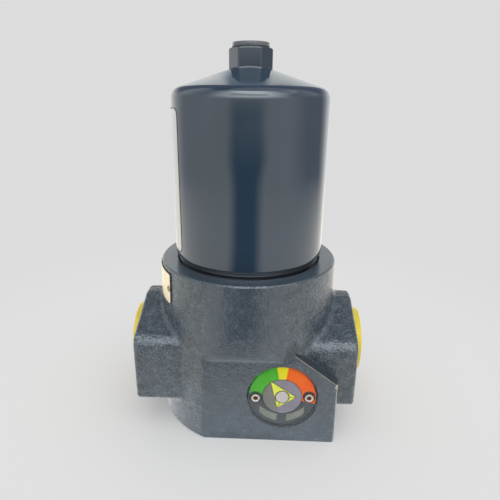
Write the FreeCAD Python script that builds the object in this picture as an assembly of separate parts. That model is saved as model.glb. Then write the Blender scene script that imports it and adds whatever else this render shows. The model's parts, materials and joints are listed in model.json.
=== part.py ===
import FreeCAD, Part
import math
import os

# High pressure filter: a cast head that stands on its mounting face, with a screwed bowl on top.
# Frame: +Z up along the bowl's axis, ports along X, indicator dial towards -Y.
# The origin is the centre of the mounting face. All sizes are in millimetres.

Vector = FreeCAD.Vector
ORIGIN = Vector(0, 0, 0)
X_AXIS = Vector(1, 0, 0)
Y_AXIS = Vector(0, 1, 0)
Z_AXIS = Vector(0, 0, 1)

# How far a cutting shape runs past the face that it opens
past = 1.0

# Cast head
head_height = 128.8
head_foot_radius = 70.5
head_draft_deg = 1.0
head_top_chamfer = 1.0
head_foot_chamfer = 0.8
cast_blend = 5.0
cast_blend_reach = 6.0

# Port bosses, house shaped in section and cast across the head
boss_face_x = 84.0
boss_half_depth = 52.0
boss_below_port = 30.0
boss_shoulder_rise = 22.0
boss_top_rise = 41.5
boss_top_half_width = 6.0
boss_shoulder_fillet = 12.0
boss_top_fillet = 9.0
boss_bottom_fillet = 4.0
boss_edge_fillet = 3.0

# Ports, G 1 1/4
port_z = 54.0
port_thread_radius = 19.5
port_thread_length = 22.0
port_relief_radius = 22.0
port_relief_depth = 5.0
port_spot_radius = 26.6
port_spot_depth = 0.6
passage_radius = 16.0
passage_past_axis = 14.0
inlet_inner_x = 24.0
riser_radius = 12.0

# Indicator pad and corner block
pad_inset = 7.2
pad_above_dial = 3.5
pad_runout_deg = 14.0
block_left_x = 28.0
block_peak_x = 37.0
block_peak_rise = 6.6
block_beside_dial = 15.0
block_slope_drop = 23.9
block_ramp_deg = 28.0
block_ramp_depth = 6.0
block_corner_radius = 3.0
block_back_y = 10.0

# Cavities of the head
floor_wall = 8.0
chamber_height = 6.0
chamber_radius = 48.5
seal_land_length = 12.0
seal_bore_radius = 52.5
thread_bore_radius = 55.0
bore_mouth_chamfer = 1.5
bore_step_chamfer = 2.0
spigot_hole_radius = 18.0
spigot_shank_length = 10.0

# Mounting holes, M12
mount_spacing_x = 80.0
mount_spacing_y = 76.0
mount_hole_radius = 5.1
mount_hole_depth = 20.0
drill_tip_deg = 59.0

# Bowl
bowl_radius = 57.0
bowl_wall = 11.0
bowl_rim_gap = 4.3
bowl_rim_chamfer = 1.5
bowl_length = 119.9
bowl_shoulder_fillet = 6.0
bowl_cone_deg = 18.7
bowl_crown_wall = 13.0
bowl_inner_fillet = 6.0
bowl_thread_clearance = 0.1
bowl_seal_clearance = 0.1
bowl_hex_flats = 27.2
bowl_hex_height = 12.8
bowl_hex_corner_fillet = 3.0
bowl_hex_chamfer = 1.2
bowl_cone_under_hex = 1.0
groove_low_land = 3.0
groove_width = 5.0
groove_depth = 2.7

# Seals of the bowl
seal_gap = 0.08
backup_ring_height = 2.0

# Drain plug in the hexagon, M18
plug_thread_radius = 9.0
plug_thread_clearance = 0.08
plug_thread_length = 13.0
plug_thread_chamfer = 1.0
plug_hole_length = 16.0
plug_vent_radius = 6.0
plug_flange_radius = 12.9
plug_flange_height = 2.8
plug_flange_chamfer = 0.5
plug_socket_flats = 8.0
plug_socket_depth = 6.5
plug_seal_height = 0.8
plug_seal_radius = 13.2

# Filter element
spigot_radius = 20.0
spigot_bore_radius = 14.0
spigot_flange_radius = 24.0
spigot_height = 26.0
spigot_tip_chamfer = 2.0
element_radius = 39.0
element_top_clearance = 8.0
cap_sheet = 1.2
cap_lip_height = 9.0
cap_collar_height = 18.0
cap_collar_wall = 3.4
spigot_clearance = 0.05
element_groove_height = 3.0
element_groove_depth = 2.2
element_groove_rise = 7.0
fixed_seal_gap = 0.02
core_tube_wall = 1.5
core_slot_width = 5.0
core_slot_height = 9.0
core_slot_rows = 7
core_slot_columns = 6
pleat_count = 44
pleat_gap = 0.6
pleat_sheet = 2.4
cap_knob_radius = 12.0
cap_knob_height = 3.0

# Bypass valve cartridge in the chamber floor
bypass_x = 38.0
bypass_thread_radius = 9.0
bypass_bore_radius = 6.0
bypass_flange_radius = 10.4
bypass_flange_height = 2.0
bypass_seat_below_floor = 10.0
bypass_cage_length = 24.0
bypass_cage_floor = 2.0
bypass_leg_wall = 0.9
bypass_leg_deg = 40.0
bypass_leg_count = 3
bypass_disc_radius = 7.3
bypass_disc_height = 2.0
bypass_guide_clearance = 0.3
bypass_guide_height = 4.0
bypass_guide_taper = 1.0
bypass_cage_clearance = 0.1
bypass_stem_radius = 2.0
bypass_stem_clearance = 0.05
bypass_stem_past_cage = 1.0
bypass_wire_radius = 0.6
bypass_coil_radius = 5.2
bypass_coil_turns = 5

# Indicator
dial_x = 28.5
dial_z = 38.5
dial_radius = 25.5
recess_gap = 0.4
recess_depth = 8.2
recess_chamfer = 0.7
housing_flange_height = 5.0
housing_barrel_radius = 10.9
housing_barrel_clearance = 0.1
housing_barrel_length = 26.0
housing_bore_depth = 27.0
housing_groove_depth = 1.8
housing_groove_width = 2.6
housing_wall_before_piston = 3.0
front_pocket_radius = 6.5
front_pocket_depth = 8.0
feed_groove_depth = 1.2
feed_groove_land = 0.8
feed_hole_radius = 0.8
tap_radius = 1.75
piston_radius = 6.95
piston_clearance = 0.05
piston_length = 8.0
piston_nose_length = 1.7
piston_nose_radius = 5.0
piston_magnet_radius = 3.8
piston_magnet_length = 3.8
piston_spring_pocket_radius = 4.7
piston_spring_pocket_depth = 4.0
end_plug_height = 2.0
end_plug_hole_radius = 2.5
indicator_wire_radius = 0.4
indicator_coil_radius = 3.8
indicator_coil_turns = 5
pointer_shaft_radius = 1.2
pointer_shaft_clearance = 0.05
pointer_magnet_radius = 5.5
pointer_magnet_length = 3.0
pointer_magnet_gap = 0.5
bush_radius = 3.0
bush_length = 2.3

# Dial face
plate_thickness = 0.8
scale_thickness = 0.2
running_gap = 0.3
pointer_disc_thickness = 0.3
arrow_thickness = 0.3
hub_height = 0.4
hub_radius = 4.85
lens_gap = 0.3
lens_thickness = 1.0
lens_rim = 0.7
scale_inner_radius = 14.7
scale_edge_gap = 0.1
disc_edge_gap = 0.3
green_from_deg = 175.0
green_to_deg = 100.5
yellow_to_deg = 81.0
red_to_deg = -13.0
window_outer_radius = 22.0
window_arc_radius = 22.4
window_arc_rise = 6.5
window_inner_x = 3.6
window_outer_x = 16.6
arrow_tip_deg = 124.0
arrow_wing_angles_deg = (250.0, 361.0)
arrow_tip_radius = 16.2
arrow_wing_radius = 10.6
dial_screw_offset = 19.7
dial_screw_turn_deg = 2.0
dial_screw_radius = 2.0
dial_screw_clearance = 0.1
dial_screw_length = 17.0
dial_screw_head_radius = 3.4
dial_screw_head_height = 1.8
dial_screw_socket_flats = 3.0
dial_screw_socket_depth = 1.2
screw_post_wall = 0.8
screw_head_clearance = 0.2

# Both springs
coil_steps_per_turn = 12
coil_wire_sides = 6

# Port caps
cap_flange_radius = 26.0
cap_height = 8.0
cap_wall = 2.0
cap_skirt_clearance = 0.08
cap_skirt_wall = 1.8
cap_skirt_length = 4.6

# Nameplate and label, each on a film of glue
glue_film = 0.03
nameplate_thickness = 0.8
nameplate_bottom_z = 101.0
nameplate_below_top = 3.4
nameplate_half_deg = 37.0
rivet_radius = 1.6
rivet_head_radius = 2.4
rivet_head_height = 1.1
rivet_head_lift = 0.05
rivet_depth = 5.0
rivet_from_edge_deg = 2.6
label_thickness = 0.15
label_above_rim = 4.9
label_below_shoulder = 12.5
label_half_deg = 33.5
label_corner_radius = 5.0

# Levels that follow from the sizes above
pad_face_y = head_foot_radius - pad_inset
chamber_floor_z = port_z + passage_radius + floor_wall
ledge_z = chamber_floor_z + chamber_height
seal_top_z = ledge_z + seal_land_length
bowl_rim_z = head_height + bowl_rim_gap
shoulder_z = bowl_rim_z + bowl_length
bowl_inner_radius = bowl_radius - bowl_wall
bowl_inner_top_z = shoulder_z - bowl_crown_wall
hex_corner_radius = bowl_hex_flats / math.sqrt(3)
hex_base_z = shoulder_z + (bowl_radius - hex_corner_radius) * math.tan(math.radians(bowl_cone_deg))
hex_top_z = hex_base_z + bowl_hex_height
nose_radius = seal_bore_radius - bowl_seal_clearance
groove_radius = nose_radius - groove_depth
groove_low_z = ledge_z + groove_low_land
groove_high_z = groove_low_z + groove_width
pad_top_z = dial_z + dial_radius + pad_above_dial
block_right_x = dial_x + dial_radius + block_beside_dial
block_peak_z = pad_top_z + block_peak_rise
recess_radius = dial_radius + recess_gap
screw_hole_radius = dial_screw_radius + dial_screw_clearance
boss_bottom_z = port_z - boss_below_port
element_top_z = bowl_inner_top_z - element_top_clearance
collar_inner_radius = spigot_radius + spigot_clearance
collar_outer_radius = collar_inner_radius + cap_collar_wall
core_outer_radius = collar_outer_radius + core_tube_wall
bypass_seat_z = chamber_floor_z - bypass_seat_below_floor
bypass_cage_z = bypass_seat_z - bypass_cage_length

# Depths of the indicator, measured outwards from the pad's face
recess_floor = -recess_depth
plate_back = recess_floor + housing_flange_height
plate_front = plate_back + plate_thickness
scale_front = plate_front + scale_thickness
disc_back = plate_front + running_gap
disc_front = disc_back + pointer_disc_thickness
arrow_front = disc_front + arrow_thickness
hub_front = arrow_front + hub_height
lens_back = hub_front + lens_gap
lens_front = lens_back + lens_thickness
pocket_floor = plate_back - front_pocket_depth
piston_bore_front = pocket_floor - housing_wall_before_piston
barrel_end = recess_floor - housing_barrel_length
piston_front = piston_bore_front - piston_nose_length
piston_back = piston_front - piston_length
end_plug_front = barrel_end + end_plug_height
front_groove_low = recess_floor - 2 * housing_groove_width
feed_high = front_groove_low - feed_groove_land
feed_low = end_plug_front + housing_groove_width + feed_groove_land


def cylinder(radius, low, high, x=0.0, y=0.0):
    return Part.makeCylinder(radius, high - low, Vector(x, y, low))


def ring(outer, inner, low, high, x=0.0, y=0.0):
    return cylinder(outer, low, high, x, y).cut(cylinder(inner, low, high, x, y))


def turned(profile, angle=360.0):
    """A solid of revolution about Z from (radius, height) corners, some with a fillet as a third value."""
    outline = rounded_outline(profile, lambda p: Vector(p.x, 0, p.y))
    return Part.Face(outline).revolve(ORIGIN, Z_AXIS, angle)


def seal_ring(inner, outer, middle, gap):
    """A round-section ring that fills the width between two walls but for a small gap."""
    section_radius = (outer - inner) / 2 - gap
    return Part.makeTorus((inner + outer) / 2, section_radius, Vector(0, 0, middle))


def drilled(radius, low, high, x=0.0, y=0.0):
    """A blind hole that opens downwards at low, with the drill's point above high."""
    tip = radius / math.tan(math.radians(drill_tip_deg))
    point = Part.makeCone(radius, 0, tip, Vector(x, y, high))
    return cylinder(radius, low, high, x, y).fuse(point)


def hexagon(flats, low, high):
    """A hexagonal prism about Z with one pair of flats facing along Y."""
    corner = flats / math.sqrt(3)
    points = []
    for index in range(7):
        angle = math.radians(60 * index)
        points.append(Vector(corner * math.cos(angle), corner * math.sin(angle), low))
    return Part.Face(Part.makePolygon(points)).extrude(Vector(0, 0, high - low))


def rounded_outline(corners, place):
    """A closed wire through (u, v) corners; a third value rounds the corner by a tangent arc."""
    trims = []
    count = len(corners)
    for index, corner in enumerate(corners):
        here = Vector(corner[0], corner[1], 0)
        radius = corner[2] if len(corner) > 2 else 0
        if radius == 0:
            trims.append((here, here, here, radius))
            continue
        before = Vector(corners[index - 1][0], corners[index - 1][1], 0)
        after = Vector(corners[(index + 1) % count][0], corners[(index + 1) % count][1], 0)
        back = (before - here).normalize()
        ahead = (after - here).normalize()
        half = back.getAngle(ahead) / 2
        reach = radius / math.tan(half)
        middle = (back + ahead).normalize() * (radius / math.sin(half) - radius)
        trims.append((here + back * reach, here + middle, here + ahead * reach, radius))
    edges = []
    for index, (start, middle, end, radius) in enumerate(trims):
        if radius > 0:
            edges.append(Part.Arc(place(start), place(middle), place(end)).toShape())
        following = trims[(index + 1) % count][0]
        if end.distanceToPoint(following) > 0.001:
            edges.append(Part.LineSegment(place(end), place(following)).toShape())
    return Part.Wire(edges)


def sector(inner, outer, from_deg, to_deg, low, high):
    """A flat ring sector about Z that runs counterclockwise between two angles."""
    width = to_deg - from_deg
    profile = [Vector(inner, 0, low), Vector(outer, 0, low), Vector(outer, 0, high), Vector(inner, 0, high)]
    face = Part.Face(Part.makePolygon(profile + profile[:1]))
    solid = face.revolve(ORIGIN, Z_AXIS, width)
    solid.rotate(ORIGIN, Z_AXIS, from_deg)
    return solid


def coil(wire_radius, coil_radius, turns, low, high):
    """A spring about Z: a many-sided wire section carried along a helix by straight steps."""
    steps = coil_steps_per_turn * turns
    sections = []
    for step in range(steps + 1):
        turn = 2 * math.pi * step / coil_steps_per_turn
        level = low + wire_radius + (high - low - 2 * wire_radius) * step / steps
        points = []
        for side in range(coil_wire_sides):
            angle = 2 * math.pi * side / coil_wire_sides
            radius = coil_radius + wire_radius * math.cos(angle)
            height = level + wire_radius * math.sin(angle)
            points.append(Vector(radius * math.cos(turn), radius * math.sin(turn), height))
        sections.append(Part.makePolygon(points + points[:1]))
    return Part.makeLoft(sections, True, True)


def on_pad(shape):
    """Turns a shape built outwards along Z to face -Y at the dial's centre."""
    shape.rotate(ORIGIN, X_AXIS, 90)
    shape.translate(Vector(dial_x, -pad_face_y, dial_z))
    return shape


def on_port(shape, side):
    """Turns a shape built outwards along Z to face +X or -X at a port's face."""
    shape.rotate(ORIGIN, Y_AXIS, 90 * side)
    shape.translate(Vector(side * boss_face_x, 0, port_z))
    return shape


def head_radius(level):
    return head_foot_radius - level * math.tan(math.radians(head_draft_deg))


def head_body():
    foot = head_foot_radius
    top = head_radius(head_height)
    return turned([
        (0, 0),
        (foot - head_foot_chamfer, 0),
        (head_radius(head_foot_chamfer), head_foot_chamfer),
        (head_radius(head_height - head_top_chamfer), head_height - head_top_chamfer),
        (top - head_top_chamfer, head_height),
        (0, head_height),
    ])


def boss_bar():
    """The house-shaped bar that carries both ports, with rounded edges all round."""
    shoulder_z = port_z + boss_shoulder_rise
    top_z = port_z + boss_top_rise
    corners = [
        (-boss_half_depth, boss_bottom_z, boss_bottom_fillet),
        (boss_half_depth, boss_bottom_z, boss_bottom_fillet),
        (boss_half_depth, shoulder_z, boss_shoulder_fillet),
        (boss_top_half_width, top_z, boss_top_fillet),
        (-boss_top_half_width, top_z, boss_top_fillet),
        (-boss_half_depth, shoulder_z, boss_shoulder_fillet),
    ]
    outline = rounded_outline(corners, lambda p: Vector(-boss_face_x, p.x, p.y))
    bar = Part.Face(outline).extrude(Vector(2 * boss_face_x, 0, 0))
    ends = [e for e in bar.Edges if abs(abs(e.CenterOfMass.x) - boss_face_x) < 0.01]
    return bar.makeFillet(boss_edge_fillet, ends)


def front_cut():
    """What the flat indicator pad takes off the round head, with its sloped run-out on top."""
    depth = head_foot_radius
    rise = (depth - pad_face_y) / math.tan(math.radians(pad_runout_deg))
    corners = [
        Vector(-depth, -pad_face_y, -past),
        Vector(-depth, -pad_face_y, pad_top_z),
        Vector(-depth, -depth, pad_top_z + rise),
        Vector(-depth, -depth - past, pad_top_z + rise),
        Vector(-depth, -depth - past, -past),
    ]
    return Part.Face(Part.makePolygon(corners + corners[:1])).extrude(Vector(2 * depth, 0, 0))


def corner_block():
    """The block beside the dial, with its slanted top and rounded outer corner."""
    slope_end_z = block_peak_z - block_slope_drop
    corners = [
        Vector(0, -pad_face_y, 0),
        Vector(block_right_x, -pad_face_y, 0),
        Vector(block_right_x, -pad_face_y, slope_end_z),
        Vector(block_peak_x, -pad_face_y, block_peak_z),
        Vector(block_left_x, -pad_face_y, pad_top_z),
        Vector(0, -pad_face_y, pad_top_z),
    ]
    length = pad_face_y - block_back_y
    block = Part.Face(Part.makePolygon(corners + corners[:1])).extrude(Vector(0, length, 0))
    outer = []
    for edge in block.Edges:
        middle = edge.CenterOfMass
        upright = abs(middle.x - block_right_x) < 0.01 and abs(middle.y + pad_face_y) < 0.01
        if upright:
            outer.append(edge)
    return block.makeFillet(block_corner_radius, outer)


def block_ramp():
    """The run-out that carries the short left edge of the block's top back into the round head."""
    rise = block_ramp_depth / math.tan(math.radians(block_ramp_deg))
    back_y = block_ramp_depth - pad_face_y
    corners = [
        Vector(block_peak_x, -pad_face_y, block_peak_z),
        Vector(block_peak_x, back_y, block_peak_z + rise),
        Vector(block_peak_x, back_y, block_peak_z),
    ]
    along_edge = Vector(block_left_x - block_peak_x, 0, -block_peak_rise)
    return Part.Face(Part.makePolygon(corners + corners[:1])).extrude(along_edge)


def port_cavity(side):
    """Spot face, entry relief and thread hole of one port."""
    bottom = -port_thread_length - port_relief_depth
    shape = cylinder(port_spot_radius, -port_spot_depth, past)
    shape = shape.fuse(cylinder(port_relief_radius, -port_relief_depth, past))
    shape = shape.fuse(cylinder(port_thread_radius, bottom, past))
    return on_port(shape, side)


def bowl_bore():
    """Chamber, ledge, seal bore and thread bore above the chamber floor."""
    return turned([
        (0, chamber_floor_z),
        (chamber_radius, chamber_floor_z),
        (chamber_radius, ledge_z),
        (seal_bore_radius, ledge_z),
        (seal_bore_radius, seal_top_z),
        (thread_bore_radius, seal_top_z + bore_step_chamfer),
        (thread_bore_radius, head_height - bore_mouth_chamfer),
        (thread_bore_radius + bore_mouth_chamfer, head_height),
        (thread_bore_radius + bore_mouth_chamfer, head_height + past),
        (0, head_height + past),
    ])


def passages():
    """Outlet passage under the axis, inlet passage and its riser into the chamber."""
    port_depth = boss_face_x - port_relief_depth - port_thread_length
    outlet = Part.makeCylinder(
        passage_radius, port_depth + passage_past_axis + past, Vector(-passage_past_axis, 0, port_z), X_AXIS
    )
    inlet = Part.makeCylinder(
        passage_radius, port_depth - inlet_inner_x + past, Vector(-port_depth - past, 0, port_z), X_AXIS
    )
    riser = cylinder(riser_radius, port_z, chamber_floor_z + past, -inlet_inner_x - riser_radius)
    centre = cylinder(spigot_bore_radius, port_z, chamber_floor_z + past)
    socket = cylinder(spigot_hole_radius, chamber_floor_z - spigot_shank_length, chamber_floor_z + past)
    bypass = cylinder(bypass_thread_radius, port_z, chamber_floor_z + past, bypass_x)
    return [outlet, inlet, riser, centre, socket, bypass]


def indicator_cavity():
    """Dial recess, barrel hole, screw holes, and the tap that ends in the outlet passage."""
    bore_radius = housing_barrel_radius + housing_barrel_clearance
    bore_floor = recess_floor - housing_bore_depth
    mouth = Part.makeCone(
        recess_radius, recess_radius + 2 * recess_chamfer, 2 * recess_chamfer, Vector(0, 0, -recess_chamfer)
    )
    screw_low = plate_front - dial_screw_length
    cuts = [
        mouth,
        cylinder(bore_radius, bore_floor, recess_floor + past),
        cylinder(tap_radius, -pad_face_y, bore_floor + past, 0, bore_radius / 2),
    ]
    cuts += screw_spots(dial_screw_radius, screw_low, recess_floor + past)
    return on_pad(cylinder(recess_radius, recess_floor, past).fuse(cuts))


def chamber_tap():
    """The drilling from the chamber's floor down into the housing's feed groove."""
    tap_y = -pad_face_y - feed_low - tap_radius
    return cylinder(tap_radius, dial_z, chamber_floor_z + past, dial_x, tap_y)


def mounting_holes():
    holes = []
    for x in (-mount_spacing_x / 2, mount_spacing_x / 2):
        for y in (-mount_spacing_y / 2, mount_spacing_y / 2):
            holes.append(drilled(mount_hole_radius, 0, mount_hole_depth, x, y))
    return holes


def rivet_angles():
    return [180 - nameplate_half_deg + rivet_from_edge_deg, 180 + nameplate_half_deg - rivet_from_edge_deg]


def nameplate_middle_z():
    return (nameplate_bottom_z + head_height - nameplate_below_top) / 2


def rivet(angle, head):
    """One drive rivet: its shank in the casting, and its domed head if asked for."""
    level = nameplate_middle_z()
    surface = head_radius(level)
    base = surface + nameplate_thickness + rivet_head_lift
    shank = cylinder(rivet_radius, surface - rivet_depth, base)
    if head:
        sphere_radius = (rivet_head_radius ** 2 + rivet_head_height ** 2) / (2 * rivet_head_height)
        ball = Part.makeSphere(sphere_radius, Vector(0, 0, base + rivet_head_height - sphere_radius))
        shank = shank.fuse(ball.common(cylinder(rivet_head_radius + past, base, base + sphere_radius)))
    shank.rotate(ORIGIN, Y_AXIS, 90)
    shank.rotate(ORIGIN, Z_AXIS, angle)
    shank.translate(Vector(0, 0, level))
    return shank


def head_casting():
    body = head_body().fuse(boss_bar())
    blends = []
    for edge in body.Edges:
        middle = edge.CenterOfMass
        box = edge.BoundBox
        on_cone = abs(math.hypot(middle.x, middle.y) - head_radius(middle.z)) < cast_blend_reach
        beside = box.XMin > 0 or box.XMax < 0
        high = box.ZMin > boss_bottom_z - past and box.ZMax < head_height - cast_blend
        if on_cone and beside and high:
            blends.append(edge)
    body = body.makeFillet(cast_blend, blends)
    body = body.cut(front_cut()).fuse([corner_block(), block_ramp()])
    cavities = [bowl_bore(), port_cavity(1), port_cavity(-1), indicator_cavity(), chamber_tap()]
    cavities += passages() + mounting_holes()
    cavities += [rivet(angle, False) for angle in rivet_angles()]
    return body.cut(cavities)


def nameplate():
    low = nameplate_bottom_z
    high = head_height - nameplate_below_top
    plate = turned([
        (head_radius(low) + glue_film, low),
        (head_radius(low) + nameplate_thickness, low),
        (head_radius(high) + nameplate_thickness, high),
        (head_radius(high) + glue_film, high),
    ], 2 * nameplate_half_deg)
    plate.rotate(ORIGIN, Z_AXIS, 180 - nameplate_half_deg)
    return plate.cut([rivet(angle, False) for angle in rivet_angles()])


def bowl():
    """The closed steel cup: threaded neck, seal nose, coned crown and hexagon."""
    thread_radius = thread_bore_radius - bowl_thread_clearance
    cone_rise = bowl_cone_under_hex * math.tan(math.radians(bowl_cone_deg))
    cone_top = (hex_corner_radius - bowl_cone_under_hex, hex_base_z + cone_rise)
    outer = turned([
        (0, ledge_z),
        (nose_radius, ledge_z),
        (nose_radius, groove_low_z),
        (groove_radius, groove_low_z),
        (groove_radius, groove_high_z),
        (nose_radius, groove_high_z),
        (nose_radius, seal_top_z),
        (thread_radius, seal_top_z + bore_step_chamfer + bowl_thread_clearance),
        (thread_radius, bowl_rim_z),
        (bowl_radius - bowl_rim_chamfer, bowl_rim_z),
        (bowl_radius, bowl_rim_z + bowl_rim_chamfer),
        (bowl_radius, shoulder_z, bowl_shoulder_fillet),
        cone_top,
        (0, cone_top[1]),
    ])
    wrench_low = hex_base_z - 2 * past
    tips = turned([
        (0, wrench_low),
        (hex_corner_radius + past, wrench_low),
        (hex_corner_radius + past, hex_top_z - (bowl_hex_chamfer + past) / 2),
        (hex_corner_radius - bowl_hex_chamfer, hex_top_z),
        (0, hex_top_z),
    ])
    wrench = hexagon(bowl_hex_flats, wrench_low, hex_top_z)
    uprights = [e for e in wrench.Edges if e.BoundBox.ZLength > past]
    wrench = wrench.makeFillet(bowl_hex_corner_fillet, uprights).common(tips)
    inner = turned([
        (0, ledge_z - past),
        (bowl_inner_radius, ledge_z - past),
        (bowl_inner_radius, bowl_inner_top_z, bowl_inner_fillet),
        (0, bowl_inner_top_z),
    ])
    hole = cylinder(plug_thread_radius, hex_top_z - plug_hole_length, hex_top_z + past)
    vent = cylinder(plug_vent_radius, bowl_inner_top_z - past, hex_top_z)
    return outer.fuse(wrench).cut([inner, hole, vent])


def bowl_o_ring():
    """The round ring on the pressure side of the nose's groove."""
    section_height = seal_bore_radius - groove_radius
    return seal_ring(groove_radius, seal_bore_radius, groove_low_z + section_height / 2, seal_gap)


def bowl_backup_ring():
    high = groove_high_z - seal_gap
    return ring(seal_bore_radius - seal_gap, groove_radius + seal_gap, high - backup_ring_height, high)


def bowl_label():
    """Thin foil round the left side of the bowl, with rounded corners."""
    low = bowl_rim_z + label_above_rim
    high = shoulder_z - label_below_shoulder
    half_width = bowl_radius * math.sin(math.radians(label_half_deg))
    corners = [
        (-half_width, low, label_corner_radius),
        (half_width, low, label_corner_radius),
        (half_width, high, label_corner_radius),
        (-half_width, high, label_corner_radius),
    ]
    outline = rounded_outline(corners, lambda p: Vector(-bowl_radius - 5, p.x, p.y))
    stamp = Part.Face(outline).extrude(Vector(bowl_radius, 0, 0))
    sleeve = ring(bowl_radius + label_thickness, bowl_radius + glue_film, low - past, high + past)
    return sleeve.common(stamp)


def drain_plug():
    thread = plug_thread_radius - plug_thread_clearance
    base = hex_top_z + plug_seal_height
    top = base + plug_flange_height
    body = turned([
        (0, hex_top_z - plug_thread_length),
        (thread - plug_thread_chamfer, hex_top_z - plug_thread_length),
        (thread, hex_top_z - plug_thread_length + plug_thread_chamfer),
        (thread, base),
        (plug_flange_radius, base),
        (plug_flange_radius, top - plug_flange_chamfer),
        (plug_flange_radius - plug_flange_chamfer, top),
        (0, top),
    ])
    return body.cut(hexagon(plug_socket_flats, top - plug_socket_depth, top + past))


def drain_plug_seal():
    inner = plug_thread_radius + plug_thread_clearance
    return ring(plug_seal_radius, inner, hex_top_z, hex_top_z + plug_seal_height)


def element_spigot():
    low = chamber_floor_z - spigot_shank_length
    top = chamber_floor_z + spigot_height
    outer = turned([
        (0, low),
        (spigot_hole_radius, low),
        (spigot_hole_radius, chamber_floor_z),
        (spigot_flange_radius, chamber_floor_z),
        (spigot_flange_radius, ledge_z),
        (spigot_radius, ledge_z),
        (spigot_radius, top - spigot_tip_chamfer),
        (spigot_radius - spigot_tip_chamfer, top),
        (0, top),
    ])
    return outer.cut(cylinder(spigot_bore_radius, low - past, top + past))


def element_lower_cap():
    """Sheet ring with an outer lip and a collar that holds the spigot's seal."""
    ring_low = ledge_z + element_groove_rise
    groove = collar_inner_radius + element_groove_depth
    return turned([
        (collar_inner_radius, ledge_z),
        (element_radius, ledge_z),
        (element_radius, ledge_z + cap_lip_height),
        (element_radius - cap_sheet, ledge_z + cap_lip_height),
        (element_radius - cap_sheet, ledge_z + cap_sheet),
        (collar_outer_radius, ledge_z + cap_sheet),
        (collar_outer_radius, ledge_z + cap_collar_height),
        (collar_inner_radius, ledge_z + cap_collar_height),
        (collar_inner_radius, ring_low + element_groove_height),
        (groove, ring_low + element_groove_height),
        (groove, ring_low),
        (collar_inner_radius, ring_low),
    ])


def element_o_ring():
    middle = ledge_z + element_groove_rise + element_groove_height / 2
    groove = collar_inner_radius + element_groove_depth
    return seal_ring(spigot_radius, groove, middle, fixed_seal_gap)


def element_upper_cap():
    low_lip = element_top_z - cap_lip_height
    return turned([
        (0, element_top_z - cap_sheet),
        (element_radius - cap_sheet, element_top_z - cap_sheet),
        (element_radius - cap_sheet, low_lip),
        (element_radius, low_lip),
        (element_radius, element_top_z),
        (cap_knob_radius + cap_knob_height, element_top_z),
        (cap_knob_radius, element_top_z + cap_knob_height),
        (0, element_top_z + cap_knob_height),
    ])


def element_core_tube():
    """Slotted tube inside the pleats, from end cap to end cap."""
    low = ledge_z + cap_sheet
    high = element_top_z - cap_sheet
    tube = ring(core_outer_radius, collar_outer_radius, low, high)
    first = ledge_z + cap_collar_height + core_slot_height
    last = high - core_slot_height
    slots = []
    for row in range(core_slot_rows):
        level = first + (last - first) * row / (core_slot_rows - 1)
        for column in range(core_slot_columns):
            slot = Part.makeBox(
                core_outer_radius, core_slot_width, core_slot_height,
                Vector(collar_outer_radius / 2, -core_slot_width / 2, level - core_slot_height / 2)
            )
            turn = 360 / core_slot_columns * (column + row % 2 / 2)
            slot.rotate(ORIGIN, Z_AXIS, turn)
            slots.append(slot)
    return tube.cut(slots)


def zigzag(inner, outer, level):
    points = []
    for index in range(2 * pleat_count):
        radius = outer if index % 2 == 0 else inner
        angle = math.pi * index / pleat_count
        points.append(Vector(radius * math.cos(angle), radius * math.sin(angle), level))
    return Part.Face(Part.makePolygon(points + points[:1]))


def element_pleats():
    """The folded medium: a band between two zigzags, one folded sheet in section."""
    low = ledge_z + cap_sheet
    high = element_top_z - cap_sheet
    inner = core_outer_radius + pleat_gap
    outer = element_radius - cap_sheet - pleat_gap
    band = zigzag(inner + pleat_sheet, outer, low).cut(zigzag(inner, outer - pleat_sheet, low))
    return band.extrude(Vector(0, 0, high - low))


def bypass_seat():
    body = turned([
        (bypass_bore_radius, bypass_seat_z),
        (bypass_thread_radius, bypass_seat_z),
        (bypass_thread_radius, chamber_floor_z),
        (bypass_flange_radius, chamber_floor_z),
        (bypass_flange_radius, chamber_floor_z + bypass_flange_height),
        (bypass_bore_radius, chamber_floor_z + bypass_flange_height),
    ])
    body.translate(Vector(bypass_x, 0, 0))
    return body


def bypass_cage():
    """Three legs under the seat and the floor that carries spring and stem."""
    outer = bypass_thread_radius - bypass_cage_clearance
    floor_high = bypass_cage_z + bypass_cage_floor
    hole = bypass_stem_radius + bypass_stem_clearance
    cage = ring(outer, hole, bypass_cage_z, floor_high)
    for index in range(bypass_leg_count):
        start = 360 / bypass_leg_count * index
        leg = sector(outer - bypass_leg_wall, outer, start, start + bypass_leg_deg, floor_high, bypass_seat_z)
        cage = cage.fuse(leg)
    cage.translate(Vector(bypass_x, 0, 0))
    return cage


def bypass_poppet():
    stem_low = bypass_cage_z + bypass_cage_floor - bypass_stem_past_cage
    guide = bypass_bore_radius - bypass_guide_clearance
    body = turned([
        (0, stem_low),
        (bypass_stem_radius, stem_low),
        (bypass_stem_radius, bypass_seat_z - bypass_disc_height),
        (bypass_disc_radius, bypass_seat_z - bypass_disc_height),
        (bypass_disc_radius, bypass_seat_z),
        (guide, bypass_seat_z),
        (guide - bypass_guide_taper, bypass_seat_z + bypass_guide_height),
        (0, bypass_seat_z + bypass_guide_height),
    ])
    body.translate(Vector(bypass_x, 0, 0))
    return body


def bypass_spring():
    low = bypass_cage_z + bypass_cage_floor
    high = bypass_seat_z - bypass_disc_height
    spring = coil(bypass_wire_radius, bypass_coil_radius, bypass_coil_turns, low, high)
    spring.translate(Vector(bypass_x, 0, 0))
    return spring


def barrel_groove(low):
    floor = housing_barrel_radius - housing_groove_depth
    return ring(housing_barrel_radius + past, floor, low, low + housing_groove_width)


def groove_levels():
    """Lower sides of the barrel's two seal grooves."""
    return [front_groove_low, end_plug_front]


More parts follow.
